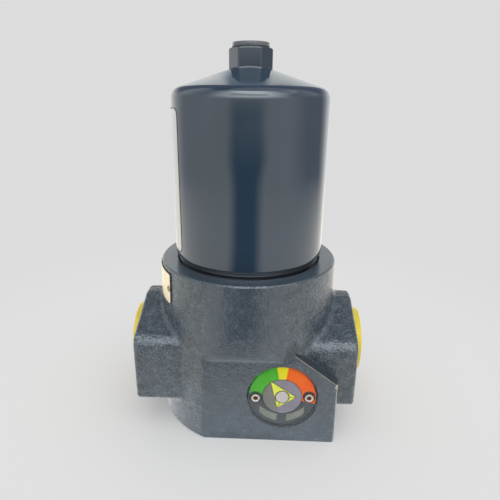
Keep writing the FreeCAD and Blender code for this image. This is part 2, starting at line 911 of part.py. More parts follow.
def indicator_housing():
    """Flanged housing: seal grooves, pressure feed, piston bore and magnet pocket."""
    body = cylinder(dial_radius, recess_floor, plate_back)
    body = body.fuse(cylinder(housing_barrel_radius, barrel_end, recess_floor))
    feed_floor = housing_barrel_radius - feed_groove_depth
    feed_hole_level = (piston_front + piston_bore_front) / 2
    cuts = [
        cylinder(piston_radius + piston_clearance, barrel_end - past, piston_bore_front),
        cylinder(front_pocket_radius, pocket_floor, plate_back + past),
        ring(housing_barrel_radius + past, feed_floor, feed_low, feed_high),
        Part.makeCylinder(feed_hole_radius, housing_barrel_radius, Vector(0, 0, feed_hole_level), Y_AXIS),
    ]
    cuts += [barrel_groove(level) for level in groove_levels()]
    cuts += screw_spots(screw_hole_radius, recess_floor - past, plate_back + past)
    return on_pad(body.cut(cuts))


def indicator_seals():
    """Two round rings, one in each groove of the barrel."""
    outer = housing_barrel_radius + housing_barrel_clearance
    inner = housing_barrel_radius - housing_groove_depth
    rings = [
        seal_ring(inner, outer, level + housing_groove_width / 2, fixed_seal_gap) for level in groove_levels()
    ]
    return on_pad(Part.makeCompound(rings))


def indicator_end_plug():
    bore = piston_radius + piston_clearance
    return on_pad(ring(bore, end_plug_hole_radius, barrel_end, end_plug_front))


def indicator_piston():
    pocket = piston_front + piston_nose_length - piston_magnet_length
    body = cylinder(piston_radius, piston_back, piston_front)
    body = body.fuse(cylinder(piston_nose_radius, piston_front, piston_bore_front))
    cuts = [
        cylinder(piston_magnet_radius, pocket, piston_bore_front + past),
        cylinder(piston_spring_pocket_radius, piston_back - past, piston_back + piston_spring_pocket_depth),
    ]
    return on_pad(body.cut(cuts))


def piston_magnet():
    pocket = piston_front + piston_nose_length - piston_magnet_length
    return on_pad(cylinder(piston_magnet_radius, pocket, piston_bore_front - running_gap))


def indicator_spring():
    low = end_plug_front
    high = piston_back + piston_spring_pocket_depth
    return on_pad(coil(indicator_wire_radius, indicator_coil_radius, indicator_coil_turns, low, high))


def pointer_shaft():
    return on_pad(cylinder(pointer_shaft_radius, pocket_floor + pointer_magnet_gap, arrow_front))


def pointer_magnet():
    low = pocket_floor + pointer_magnet_gap
    return on_pad(ring(pointer_magnet_radius, pointer_shaft_radius, low, low + pointer_magnet_length))


def pointer_bush():
    bore = pointer_shaft_radius + pointer_shaft_clearance
    return on_pad(ring(bush_radius, bore, plate_front - bush_length, plate_front))


def pointer_disc():
    radius = scale_inner_radius - disc_edge_gap
    return on_pad(ring(radius, pointer_shaft_radius, disc_back, disc_front))


def pointer_arrow():
    """Kite of three corners about the shaft, its tip over the scale."""
    corners = [(arrow_tip_radius, arrow_tip_deg)]
    corners += [(arrow_wing_radius, angle) for angle in arrow_wing_angles_deg]
    points = []
    for radius, angle in corners:
        turn = math.radians(angle)
        points.append(Vector(radius * math.cos(turn), radius * math.sin(turn), disc_front))
    plate = Part.Face(Part.makePolygon(points + points[:1])).extrude(Vector(0, 0, arrow_thickness))
    return on_pad(plate.cut(cylinder(pointer_shaft_radius, disc_front - past, arrow_front + past)))


def pointer_hub():
    body = cylinder(hub_radius, arrow_front, hub_front)
    rim = [e for e in body.Edges if e.BoundBox.ZMin > hub_front - 0.01]
    return on_pad(body.makeChamfer(hub_height / 2, rim))


def screw_places():
    turn = math.radians(dial_screw_turn_deg)
    reach = (dial_screw_offset * math.cos(turn), dial_screw_offset * math.sin(turn))
    return [(side * reach[0], side * reach[1]) for side in (-1, 1)]


def screw_spots(radius, low, high):
    return [cylinder(radius, low, high, x, y) for x, y in screw_places()]


def dial_plate():
    body = cylinder(dial_radius, plate_back, plate_front)
    cuts = screw_spots(screw_hole_radius, plate_back - past, plate_front + past)
    return on_pad(body.cut(cuts + [cylinder(bush_radius, plate_back - past, plate_front + past)]))


def scale_field(from_deg, to_deg, inner, outer):
    """One coloured field of the scale, open round the screw posts."""
    field = sector(inner, outer, from_deg, to_deg, plate_front, scale_front)
    post = dial_screw_head_radius + screw_head_clearance + screw_post_wall
    return field.cut(screw_spots(post + scale_edge_gap, plate_front - past, scale_front + past))


def scale_outer_radius():
    return dial_radius - lens_rim - scale_edge_gap


def scale_green():
    return on_pad(scale_field(green_to_deg, green_from_deg, scale_inner_radius, scale_outer_radius()))


def scale_yellow():
    return on_pad(scale_field(yellow_to_deg, green_to_deg, scale_inner_radius, scale_outer_radius()))


def scale_red():
    return on_pad(scale_field(red_to_deg, yellow_to_deg, scale_inner_radius, scale_outer_radius()))


def scale_windows():
    """Two printed fields below the disc, between a flat arc and a round one, with upright ends."""
    crescent = cylinder(window_outer_radius, plate_front, scale_front)
    crescent = crescent.cut(cylinder(window_arc_radius, plate_front - past, scale_front + past, 0, window_arc_rise))
    width = window_outer_x - window_inner_x
    fields = []
    for start_x in (-window_outer_x, window_inner_x):
        corner = Vector(start_x, -window_outer_radius, plate_front)
        fields.append(crescent.common(Part.makeBox(width, window_outer_radius, scale_thickness, corner)))
    return on_pad(Part.makeCompound(fields))


def dial_lens():
    """Clear cover: a disc on a thin rim, with a post and counterbore for each screw."""
    hollow_radius = dial_radius - lens_rim
    head_seat = lens_front - dial_screw_head_height
    post = dial_screw_head_radius + screw_head_clearance + screw_post_wall
    hollow = cylinder(hollow_radius, plate_front, lens_back).cut(screw_spots(post, plate_front, lens_back))
    body = cylinder(dial_radius, plate_front, lens_front).cut(hollow)
    cuts = screw_spots(screw_hole_radius, plate_front - past, lens_front)
    cuts += screw_spots(dial_screw_head_radius + screw_head_clearance, head_seat, lens_front + past)
    return on_pad(body.cut(cuts))


def dial_screws():
    """Two socket head screws through lens, plate and housing into the casting."""
    head_low = lens_front - dial_screw_head_height
    screws = []
    for x, y in screw_places():
        shank = cylinder(dial_screw_radius, plate_front - dial_screw_length, head_low, x, y)
        head = cylinder(dial_screw_head_radius, head_low, lens_front, x, y)
        socket = hexagon(dial_screw_socket_flats, lens_front - dial_screw_socket_depth, lens_front + past)
        socket.translate(Vector(x, y, 0))
        screws.append(shank.fuse(head).cut(socket))
    return on_pad(Part.makeCompound(screws))


def port_cap(side):
    """Push-in transport cap: a dished flange on the spot face and a skirt in the relief."""
    seat = -port_spot_depth
    skirt_radius = port_relief_radius - cap_skirt_clearance
    cavity = skirt_radius - cap_skirt_wall
    body = turned([
        (0, -cap_skirt_length),
        (skirt_radius, -cap_skirt_length),
        (skirt_radius, seat),
        (cap_flange_radius, seat),
        (cap_flange_radius, cap_height),
        (cap_flange_radius - cap_wall, cap_height),
        (cap_flange_radius - cap_wall, seat + cap_wall),
        (cavity, seat + cap_wall),
        (cavity, cap_skirt_wall - cap_skirt_length),
        (0, cap_skirt_wall - cap_skirt_length),
    ])
    return on_port(body, side)


PARTS = {
    "head_casting": head_casting,
    "nameplate": nameplate,
    "nameplate_rivets": lambda: Part.makeCompound([rivet(angle, True) for angle in rivet_angles()]),
    "bowl": bowl,
    "bowl_o_ring": bowl_o_ring,
    "bowl_backup_ring": bowl_backup_ring,
    "bowl_label": bowl_label,
    "drain_plug": drain_plug,
    "drain_plug_seal": drain_plug_seal,
    "element_spigot": element_spigot,
    "element_lower_cap": element_lower_cap,
    "element_o_ring": element_o_ring,
    "element_core_tube": element_core_tube,
    "element_pleats": element_pleats,
    "element_upper_cap": element_upper_cap,
    "bypass_seat": bypass_seat,
    "bypass_cage": bypass_cage,
    "bypass_poppet": bypass_poppet,
    "bypass_spring": bypass_spring,
    "indicator_housing": indicator_housing,
    "indicator_seals": indicator_seals,
    "indicator_end_plug": indicator_end_plug,
    "indicator_piston": indicator_piston,
    "indicator_spring": indicator_spring,
    "piston_magnet": piston_magnet,
    "pointer_shaft": pointer_shaft,
    "pointer_magnet": pointer_magnet,
    "pointer_bush": pointer_bush,
    "pointer_disc": pointer_disc,
    "pointer_arrow": pointer_arrow,
    "pointer_hub": pointer_hub,
    "dial_plate": dial_plate,
    "scale_green": scale_green,
    "scale_yellow": scale_yellow,
    "scale_red": scale_red,
    "scale_windows": scale_windows,
    "dial_lens": dial_lens,
    "dial_screws": dial_screws,
    "inlet_cap": lambda: port_cap(-1),
    "outlet_cap": lambda: port_cap(1),
}

os.makedirs("parts", exist_ok=True)
for node, make in PARTS.items():
    make().exportStep("parts/" + node + ".step")
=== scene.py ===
import json
import math

import bmesh
import bpy
import numpy as np
from mathutils import Matrix, Vector


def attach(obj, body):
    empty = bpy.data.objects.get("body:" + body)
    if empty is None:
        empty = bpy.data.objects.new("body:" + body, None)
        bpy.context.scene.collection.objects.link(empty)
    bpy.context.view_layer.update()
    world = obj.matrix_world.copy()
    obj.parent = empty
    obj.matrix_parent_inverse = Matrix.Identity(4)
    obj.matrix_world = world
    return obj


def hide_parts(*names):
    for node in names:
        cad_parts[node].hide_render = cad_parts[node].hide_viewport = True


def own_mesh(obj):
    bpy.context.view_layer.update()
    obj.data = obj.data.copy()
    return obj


# High pressure filter: painted cast head, glossy screwed bowl, dial indicator and two port caps.
# Named lengths are millimetres, as in the workshop drawing; meshes and materials are in metres.
MM = 0.001
TURN = 2 * math.pi

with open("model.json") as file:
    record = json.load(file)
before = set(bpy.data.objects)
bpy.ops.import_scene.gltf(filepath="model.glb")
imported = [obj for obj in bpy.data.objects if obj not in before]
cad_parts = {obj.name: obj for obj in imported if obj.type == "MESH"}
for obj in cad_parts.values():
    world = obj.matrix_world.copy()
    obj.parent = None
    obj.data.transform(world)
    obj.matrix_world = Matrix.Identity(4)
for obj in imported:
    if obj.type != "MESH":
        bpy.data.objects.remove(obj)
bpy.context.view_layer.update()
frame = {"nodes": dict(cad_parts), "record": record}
nodes = frame["nodes"]

# Head
head_height = 128.8
head_foot_radius = 70.5
head_draft_deg = 1.0
head_edge_round = 0.7
pad_y = -63.3

# Corner block beside the dial: its peak, its knee and the rounded upright edge below the knee
block_peak_x = 37.0
block_peak_z = 74.1
block_knee_x = 69.0
block_knee_z = 50.2
block_edge_x = 68.1
block_edge_y = pad_y + 0.9
block_edge_top_z = 50.0
block_foot_z = 30.0

# Slanted run-out above the pad
run_out_y = -64.0
run_out_z = 69.2
run_out_left_x = -24.0
run_out_right_x = 22.0
run_out_middle_x = -4.0

# Ports and their caps
port_z = 54.0
boss_face_x = 84.0
port_spot_radius = 26.6
port_spot_depth = 0.6
cap_flange_radius = 26.0
cap_height = 8.0
cap_wall = 2.0
cap_skirt_radius = 21.92
cap_skirt_length = 4.6
cap_floor = 1.8
cap_cavity_radius = 20.1

# Bowl
bowl_radius = 57.0
bowl_inner_radius = 46.0
bowl_inner_top = 240.0
bowl_inner_fillet = 6.0
nose_radius = 52.4
nose_low = 84.0
nose_high = 96.0
groove_radius = 49.7
groove_low = 87.0
groove_high = 92.0
bowl_thread_radius = 54.9
bowl_thread_low = 98.5
bowl_thread_high = 129.5
bowl_thread_pitch = 3.0
bowl_thread_depth = 1.6
neck_radius = 53.6
neck_low = 130.2
rim_z = 133.1
rim_chamfer = 1.5
shoulder_z = 252.8
shoulder_fillet = 8.5
cone_deg = 17.6
cone_split_radius = 36.0

# Hexagon on the crown, and the drain plug in it. The flange is a little lower than the solid's 2.8,
# so that it stays inside the solids' box.
hex_flats = 27.2
hex_corner_fillet = 1.8
hex_foot_fillet = 1.1
hex_crown_radius = 14.5
hex_crown_slope = 0.5
hex_top = 279.78
plug_hole_radius = 9.0
plug_hole_length = 16.0
plug_vent_radius = 6.0
plug_thread_radius = 8.9
plug_thread_length = 13.0
plug_thread_pitch = 1.5
plug_thread_depth = 0.85
plug_relief_radius = 8.2
plug_seal_height = 0.8
plug_flange_radius = 12.9
plug_flange_height = 2.797
plug_socket_flats = 8.0
plug_socket_depth = 6.5

# Sheets on the left of the bowl and of the head
label_above_rim = 4.9
label_below_shoulder = 12.3
label_half_deg = 33.5
label_corner = 5.0
label_thickness = 0.12
label_face_off_wall = 0.15
nameplate_low = 101.0
nameplate_below_top = 3.4
nameplate_half_deg = 37.0
nameplate_measured_z = 110.0
nameplate_corner = 2.5
nameplate_thickness = 0.75
nameplate_face_off_wall = 0.8

# Indicator
dial_x = 28.5
dial_z = 38.5
screw_offset = 19.7
screw_turn_deg = 2.0


# Shapes: surfaces worked out on grids, in millimetres


def metres(*lengths):
    """Lengths in millimetres as a tuple in metres."""
    return tuple(MM * length for length in lengths)


def rounded_run(corners, steps=5):
    """A run of (radius, height) points. At a corner with a third value, a circle of that radius
    touches both sides: its centre lies radius / sin(half the corner) away, on the corner's middle."""
    points = [np.array([corners[0][:2]], float)]
    for before, here, after in zip(corners, corners[1:], corners[2:]):
        corner = np.array(here[:2], float)
        if len(here) < 3:
            points.append(corner[None])
            continue
        fillet = here[2]
        back = np.array(before[:2]) - corner
        ahead = np.array(after[:2]) - corner
        back /= np.linalg.norm(back)
        ahead /= np.linalg.norm(ahead)
        half = math.acos(np.clip(back @ ahead, -1, 1)) / 2
        middle = (back + ahead) / np.linalg.norm(back + ahead)
        centre = corner + middle * fillet / math.sin(half)
        side = np.array([-middle[1], middle[0]])
        half_arc = math.pi / 2 - half
        turn = np.linspace(half_arc, -half_arc, steps + 1)[:, None] * np.sign(side @ back)
        points.append(centre + fillet * (-middle * np.cos(turn) + side * np.sin(turn)))
    points.append(np.array([corners[-1][:2]], float))
    return np.concatenate(points)


def around(count):
    """Angles of the columns of a grid that closes on itself."""
    return TURN * np.arange(count) / count


def plain_rows(profile, theta):
    """A profile as rows of a grid: every column has the same radius and height."""
    return [np.repeat(profile[:, :1], len(theta), 1), np.repeat(profile[:, 1:], len(theta), 1)]


def stacked(*parts):
    """Row blocks (radius, height) one after another."""
    return np.concatenate([p[0] for p in parts]), np.concatenate([p[1] for p in parts])


def thread_rows(theta, crest, depth, pitch, levels):
    """A right-hand thread. The phase is height / pitch less the share of a turn; the radius falls from
    the crest by depth times a clipped triangle wave of the phase, and the groove fades at both ends."""
    flank = 1.6
    land = 0.25
    fade_length = 0.6 * pitch
    phase = (levels[:, None] / pitch - theta[None, :] / TURN) % 1
    wave = np.clip(flank * (1 - np.abs(2 * phase - 1)) - land, 0, 1)
    ends = np.minimum(np.abs(levels - levels[0]), np.abs(levels - levels[-1]))
    fade = np.clip(ends / fade_length, 0, 1)[:, None]
    return [crest - depth * wave * fade, np.repeat(levels[:, None], len(theta), 1)]


def hexagon_radius(theta, flats, fillet=0.0):
    """Distance from the axis to a hexagon with flats towards Y. Beside the middle of a flat it is half
    the flats over the cosine of the angle; near a corner it is the far side of the fillet's circle."""
    off_flat = np.abs(theta % (TURN / 6) - TURN / 12)
    wall = flats / 2 / np.cos(off_flat)
    centre = (flats / 2 - fillet) / math.cos(TURN / 12)
    off_corner = TURN / 12 - off_flat
    reach = np.sqrt(np.clip(fillet ** 2 - (centre * np.sin(off_corner)) ** 2, 0, None))
    touch = math.atan2(fillet * math.sin(TURN / 12), centre + fillet * math.cos(TURN / 12))
    return np.where(off_corner < touch, centre * np.cos(off_corner) + reach, wall)


def grid_faces(rows, columns, wrap_rows, wrap_columns):
    """Corner numbers of the quads between neighbouring rows and columns."""
    row = np.arange(rows if wrap_rows else rows - 1)
    column = np.arange(columns if wrap_columns else columns - 1)
    row, column = np.meshgrid(row, column, indexing="ij")
    next_row = (row + 1) % rows
    next_column = (column + 1) % columns
    corners = [row * columns + column, row * columns + next_column]
    corners += [next_row * columns + next_column, next_row * columns + column]
    return np.stack(corners, axis=-1).reshape(-1, 4)


def lathe_points(radius, height, theta):
    """Points at a radius and height for each angle about Z."""
    return np.stack([radius * np.cos(theta), radius * np.sin(theta), height], axis=-1)


def on_port(points, side):
    """Turns points made outwards along Z to face +X or -X at a port's face."""
    x, y, z = points[..., 0], points[..., 1], points[..., 2]
    return np.stack([side * (boss_face_x + z), y, port_z - side * x], axis=-1)


def head_radius(level):
    """Radius of the round casting, which tapers upwards by its draft."""
    return head_foot_radius - level * math.tan(math.radians(head_draft_deg))


def cone_height(radius):
    """Height of the bowl's cone, which rises from the shoulder towards the axis."""
    return shoulder_z + (bowl_radius - radius) * math.tan(math.radians(cone_deg))


def linked(name, data):
    """A new object in the scene, at the origin."""
    made = bpy.data.objects.new(name, data)
    bpy.context.scene.collection.objects.link(made)
    return made


def new_piece(name, points, faces, sharp_deg=35):
    """A mesh object from points in millimetres, with doubled points merged and sharp edges kept."""
    mesh = bpy.data.meshes.new(name)
    mesh.from_pydata((points.reshape(-1, 3) * MM).tolist(), [], faces.tolist())
    work = bmesh.new()
    work.from_mesh(mesh)
    bmesh.ops.remove_doubles(work, verts=work.verts, dist=1e-6)
    bmesh.ops.dissolve_degenerate(work, edges=work.edges, dist=1e-7)
    work.to_mesh(mesh)
    work.free()
    mesh.shade_smooth()
    mesh.set_sharp_from_angle(angle=math.radians(sharp_deg))
    return linked(name, mesh)


# Node helpers


def set_socket(tree, socket, value):
    """Links a socket to another node's output, or gives it a plain value; a colour gets an alpha of 1."""
    if isinstance(value, bpy.types.NodeSocket):
        tree.links.new(value, socket)
    elif socket.type == "RGBA":
        socket.default_value = (*value, 1)
    else:
        socket.default_value = value


def place(tree, kind, inputs=None, **settings):
    """Adds a shader node, sets its properties, and gives each input a value or a link."""
    made = tree.nodes.new("ShaderNode" + kind)
    for key, value in settings.items():
        setattr(made, key, value)
    for key, value in (inputs or {}).items():
        set_socket(tree, made.inputs[key], value)
    return made


def math_node(tree, operation, *values):
    return place(tree, "Math", dict(enumerate(values)), operation=operation).outputs[0]


def product(tree, first, *others):
    """All the values multiplied."""
    for other in others:
        first = math_node(tree, "MULTIPLY", first, other)
    return first


def opposite(tree, value):
    """One less the value."""
    return math_node(tree, "SUBTRACT", 1.0, value)


def vector_node(tree, operation, *values, output=0, **named):
    inputs = {**dict(enumerate(values)), **named}
    return place(tree, "VectorMath", inputs, operation=operation).outputs[output]


def mixed(tree, factor, first, second):
    """The first colour where the factor is 0 and the second where it is 1."""
    return place(tree, "Mix", {0: factor, 6: first, 7: second}, data_type="RGBA").outputs[2]


def tinted(tree, colour, mask, strength, tone):
    """The colour, with a share of another tone where the mask is 1."""
    return mixed(tree, math_node(tree, "MULTIPLY", mask, strength), colour, tone)


def blended(tree, factor, first, second):
    """The first shader where the factor is 0 and the second where it is 1."""
    return place(tree, "MixShader", {0: factor, 1: first.outputs[0], 2: second.outputs[0]})


def ramped(tree, value, low, high, to_low=0.0, to_high=1.0):
    """A smooth step of the value between two limits."""
    inputs = {"Value": value, "From Min": low, "From Max": high, "To Min": to_low, "To Max": to_high}
    return place(tree, "MapRange", inputs, interpolation_type="SMOOTHSTEP").outputs[0]


def noise(tree, vector, scale, detail):
    return place(tree, "TexNoise", {"Vector": vector, "Scale": scale, "Detail": detail}).outputs["Fac"]


def object_place(tree):
    return place(tree, "TexCoord").outputs["Object"]


def separated(tree, vector):
    return place(tree, "SeparateXYZ", {0: vector}).outputs


def axis_distance(tree, point, across):
    """Distance from the axis through a point. The offset's share along the axis is multiplied away."""
    offset = vector_node(tree, "SUBTRACT", object_place(tree), point)
    offset = vector_node(tree, "MULTIPLY", offset, across)
    return vector_node(tree, "LENGTH", offset, output="Value")


def seen_rays(tree):
    """1 for rays from the camera, straight or through the clear cover."""
    rays = place(tree, "LightPath").outputs
    return math_node(tree, "ADD", rays["Is Camera Ray"], rays["Is Transmission Ray"])


def mirror_rays(tree):
    """1 for rays that a gloss throws back, and 0 for those that go through the clear cover."""
    rays = place(tree, "LightPath").outputs
    return math_node(tree, "SUBTRACT", rays["Is Glossy Ray"], rays["Is Transmission Ray"])


def new_group(name, inputs, outputs):
    """A shader node group with named sockets; returns it with its inner ends."""
    tree = bpy.data.node_groups.new(name, "ShaderNodeTree")
    kinds = {float: "NodeSocketFloat", tuple: "NodeSocketVector", list: "NodeSocketColor"}
    for label, value in inputs.items():
        socket = tree.interface.new_socket(label, in_out="INPUT", socket_type=kinds[type(value)])
        socket.default_value = value
    for label, kind in outputs.items():
        tree.interface.new_socket(label, in_out="OUTPUT", socket_type="NodeSocket" + kind)
    start = tree.nodes.new("NodeGroupInput")
    end = tree.nodes.new("NodeGroupOutput")
    return tree, start.outputs, end.inputs


def use(tree, group, **values):
    """Places a group in a material with its own values and returns its outputs."""
    made = tree.nodes.new("ShaderNodeGroup")
    made.node_tree = group
    for label, value in values.items():
        set_socket(tree, made.inputs[label.replace("_", " ").capitalize()], value)
    return made.outputs


# Effects that several finishes share


def grain_group():
    """Cast skin, orange peel or moulding grain: two sizes of noise as a bump."""
    tree, start, end = new_group(
        "surface_grain", {"Scale": 600.0, "Depth": 0.0001, "Share": 1.0, "Detail": 3.0},
        {"Normal": "Vector", "Height": "Float"}
    )
    where = object_place(tree)
    fine = noise(tree, where, start["Scale"], start["Detail"])
    coarse = noise(tree, where, math_node(tree, "MULTIPLY", start["Scale"], 0.27), 2.0)
    height = math_node(tree, "MULTIPLY_ADD", coarse, 0.9, fine)
    inputs = {"Strength": start["Share"], "Distance": start["Depth"], "Height": height}
    tree.links.new(place(tree, "Bump", inputs).outputs[0], end["Normal"])
    tree.links.new(height, end["Height"])
    return tree


def specks_group():
    """Dust specks: cells of a Voronoi pattern, of which a few hold a small soft dot."""
    tree, start, end = new_group(
        "dust_specks", {"Scale": 150.0, "Size": 0.12, "Share": 0.06}, {"Mask": "Float"}
    )
    cells = place(tree, "TexVoronoi", {"Vector": object_place(tree), "Scale": start["Scale"]})
    chance = place(tree, "SeparateColor", {0: cells.outputs["Color"]})
    chosen = math_node(tree, "LESS_THAN", chance.outputs[0], start["Share"])
    size = math_node(tree, "MULTIPLY", start["Size"], math_node(tree, "ADD", chance.outputs[1], 0.3))
    dot = ramped(tree, cells.outputs["Distance"], size, 0.0)
    tree.links.new(math_node(tree, "MULTIPLY", dot, chosen), end["Mask"])
    return tree


def drift_group():
    """Slow change of tone between two colours."""
    tree, start, end = new_group(
        "tone_drift", {"Scale": 30.0, "First": [0.1, 0.1, 0.1, 1], "Second": [0.2, 0.2, 0.2, 1]},
        {"Color": "Color", "Factor": "Float"}
    )
    factor = ramped(tree, noise(tree, object_place(tree), start["Scale"], 4.0), 0.35, 0.65)
    tree.links.new(mixed(tree, factor, start["First"], start["Second"]), end["Color"])
    tree.links.new(factor, end["Factor"])
    return tree


def wear_and_highlight_group():
    """A mask along a straight edge, for bare metal and for painted highlights: distance to the line
    between two ends, broken up by noise.
    """
    tree, start, end = new_group(
        "edge_wear_and_highlight", {"Start": (0.0, 0.0, 0.0), "End": (0.0, 0.0, 0.01), "Reach": 0.0006},
        {"Mask": "Float"}
    )
    where = object_place(tree)
    along = vector_node(tree, "SUBTRACT", start["End"], start["Start"])
    offset = vector_node(tree, "SUBTRACT", where, start["Start"])
    dot = vector_node(tree, "DOT_PRODUCT", offset, along, output="Value")
    square = vector_node(tree, "DOT_PRODUCT", along, along, output="Value")
    share = place(tree, "Clamp", {"Value": math_node(tree, "DIVIDE", dot, square)}).outputs[0]
    nearest = vector_node(tree, "SCALE", along, Scale=share)
    gap = vector_node(tree, "LENGTH", vector_node(tree, "SUBTRACT", offset, nearest), output="Value")
    broken = math_node(tree, "MULTIPLY_ADD", noise(tree, where, 450.0, 3.0), -1.4, 1.7)
    reach = math_node(tree, "MULTIPLY", start["Reach"], broken)
    tree.links.new(ramped(tree, math_node(tree, "DIVIDE", gap, reach), 1.0, 0.6), end["Mask"])
    return tree


def lathe_group():
    """Turning marks: noise over the distance from an axis and the place along it."""
    tree, start, end = new_group(
        "lathe_marks",
        {"Centre": (0.0, 0.0, 0.0), "Axis": (0.0, 0.0, 1.0), "Scale": 2500.0, "Depth": 0.00002},
        {"Normal": "Vector", "Height": "Float"}
    )
    offset = vector_node(tree, "SUBTRACT", object_place(tree), start["Centre"])
    along = vector_node(tree, "DOT_PRODUCT", offset, start["Axis"], output="Value")
    axial = vector_node(tree, "SCALE", start["Axis"], Scale=along)
    radial = vector_node(tree, "LENGTH", vector_node(tree, "SUBTRACT", offset, axial), output="Value")
    phase = product(tree, math_node(tree, "MULTIPLY_ADD", radial, 0.83, along), start["Scale"])
    marks = place(tree, "TexNoise", {"W": phase, "Scale": 1.0, "Detail": 2.0}, noise_dimensions="1D")
    bump = place(tree, "Bump", {"Distance": start["Depth"], "Height": marks.outputs["Fac"]})
    tree.links.new(bump.outputs[0], end["Normal"])
    tree.links.new(marks.outputs["Fac"], end["Height"])
    return tree


GRAIN = grain_group()
SPECKS = specks_group()
DRIFT = drift_group()
WEAR_AND_HIGHLIGHT = wear_and_highlight_group()
LATHE = lathe_group()


# Finishes: each function makes one material and keeps it under its name


FINISHES = {}


def new_finish(name, **sockets):
    """A material with plain values on its shader's own sockets; returns its tree and shader."""
    material = bpy.data.materials.new(name)
    FINISHES[name] = material
    material.use_nodes = True
    shader = material.node_tree.nodes["Principled BSDF"]
    feed(material.node_tree, shader, **sockets)
    return material.node_tree, shader


def feed(tree, shader, **sockets):
    """Links or sets the shader's sockets by their names, with _ for a space."""
    for label, value in sockets.items():
        set_socket(tree, shader.inputs[label.replace("_", " ")], value)


def cast_tones(tree, grain, share):
    """Paint on the cast skin: two drifting blue-greys, painted shade in the grain's hollows, painted
    glints on its high points and a little dust.
    """
    drift = use(tree, DRIFT, scale=28.0, first=(0.059, 0.081, 0.106), second=(0.071, 0.095, 0.120))
    specks = use(tree, SPECKS, scale=260.0, size=0.16, share=0.02)
    # Painted shade in the grain's hollows and painted glints on its high points.
    pit_shade = math_node(tree, "MULTIPLY", ramped(tree, grain["Height"], 1.0, 0.75), share)
    peak_glints = math_node(tree, "MULTIPLY", ramped(tree, grain["Height"], 1.05, 1.25), share)
    colour = tinted(tree, drift["Color"], pit_shade, 0.6, (0.018, 0.028, 0.040))
    colour = tinted(tree, colour, peak_glints, 0.35, (0.20, 0.23, 0.25))
    return tinted(tree, colour, specks["Mask"], 0.5, (0.3, 0.3, 0.3))


def block_wear_and_corner_highlight(tree):
    """Bare metal on the corner block along its slope and down its upright edge, and a painted
    highlight, strongest of all, on its rounded corner.
    """
    peak = metres(block_peak_x, pad_y, block_peak_z)
    knee = metres(block_knee_x, pad_y, block_knee_z)
    edge_top = metres(block_edge_x, block_edge_y, block_edge_top_z)
    corner_end = metres(block_edge_x, block_edge_y, block_edge_top_z - 1.2)
    edge_foot = metres(block_edge_x, block_edge_y, block_foot_z)
    slope = use(tree, WEAR_AND_HIGHLIGHT, start=peak, end=knee, reach=0.55 * MM)
    upright = use(tree, WEAR_AND_HIGHLIGHT, start=edge_top, end=edge_foot, reach=0.6 * MM)
    # The wide patch at the corner is a painted highlight.
    corner = use(tree, WEAR_AND_HIGHLIGHT, start=edge_top, end=corner_end, reach=2.1 * MM)
    edges = math_node(tree, "MAXIMUM", slope["Mask"], upright["Mask"])
    return math_node(tree, "MAXIMUM", math_node(tree, "MULTIPLY", edges, 0.75), corner["Mask"])


def run_out_highlight(tree):
    """A painted highlight along the lower edge of the run-out above the pad."""
    left = metres(run_out_left_x, run_out_y, run_out_z)
    right = metres(run_out_right_x, run_out_y, run_out_z)
    return use(tree, WEAR_AND_HIGHLIGHT, start=left, end=right, reach=1.4 * MM)["Mask"]


def slanted_faces(tree, x, y, z):
    """Masks of three slanted faces at the head's front, by the way they face: the block's ramp right of
    its peak, the small facet left of the peak, and the run-out above the pad, which faces down."""
    upwards = separated(tree, place(tree, "NewGeometry").outputs["True Normal"])[2]
    front = ramped(tree, y, -50.0 * MM, -56.0 * MM)
    below_shoulder = ramped(tree, z, 86.0 * MM, 82.0 * MM)
    raised = product(tree, ramped(tree, upwards, 0.15, 0.3), front, below_shoulder)
    before_peak = (block_peak_x - 0.4) * MM
    after_peak = (block_peak_x + 0.4) * MM
    ramp = product(tree, raised, ramped(tree, x, before_peak, after_peak))
    facet = product(tree, raised, ramped(tree, x, after_peak, before_peak))
    off_middle = math_node(tree, "ABSOLUTE", math_node(tree, "ADD", x, -run_out_middle_x * MM))
    run_out = product(
        tree, ramped(tree, upwards, -0.08, -0.18), front, ramped(tree, z, 69.0 * MM, 74.0 * MM),
        ramped(tree, off_middle, 27.0 * MM, 8.0 * MM)
    )
    return ramp, facet, run_out


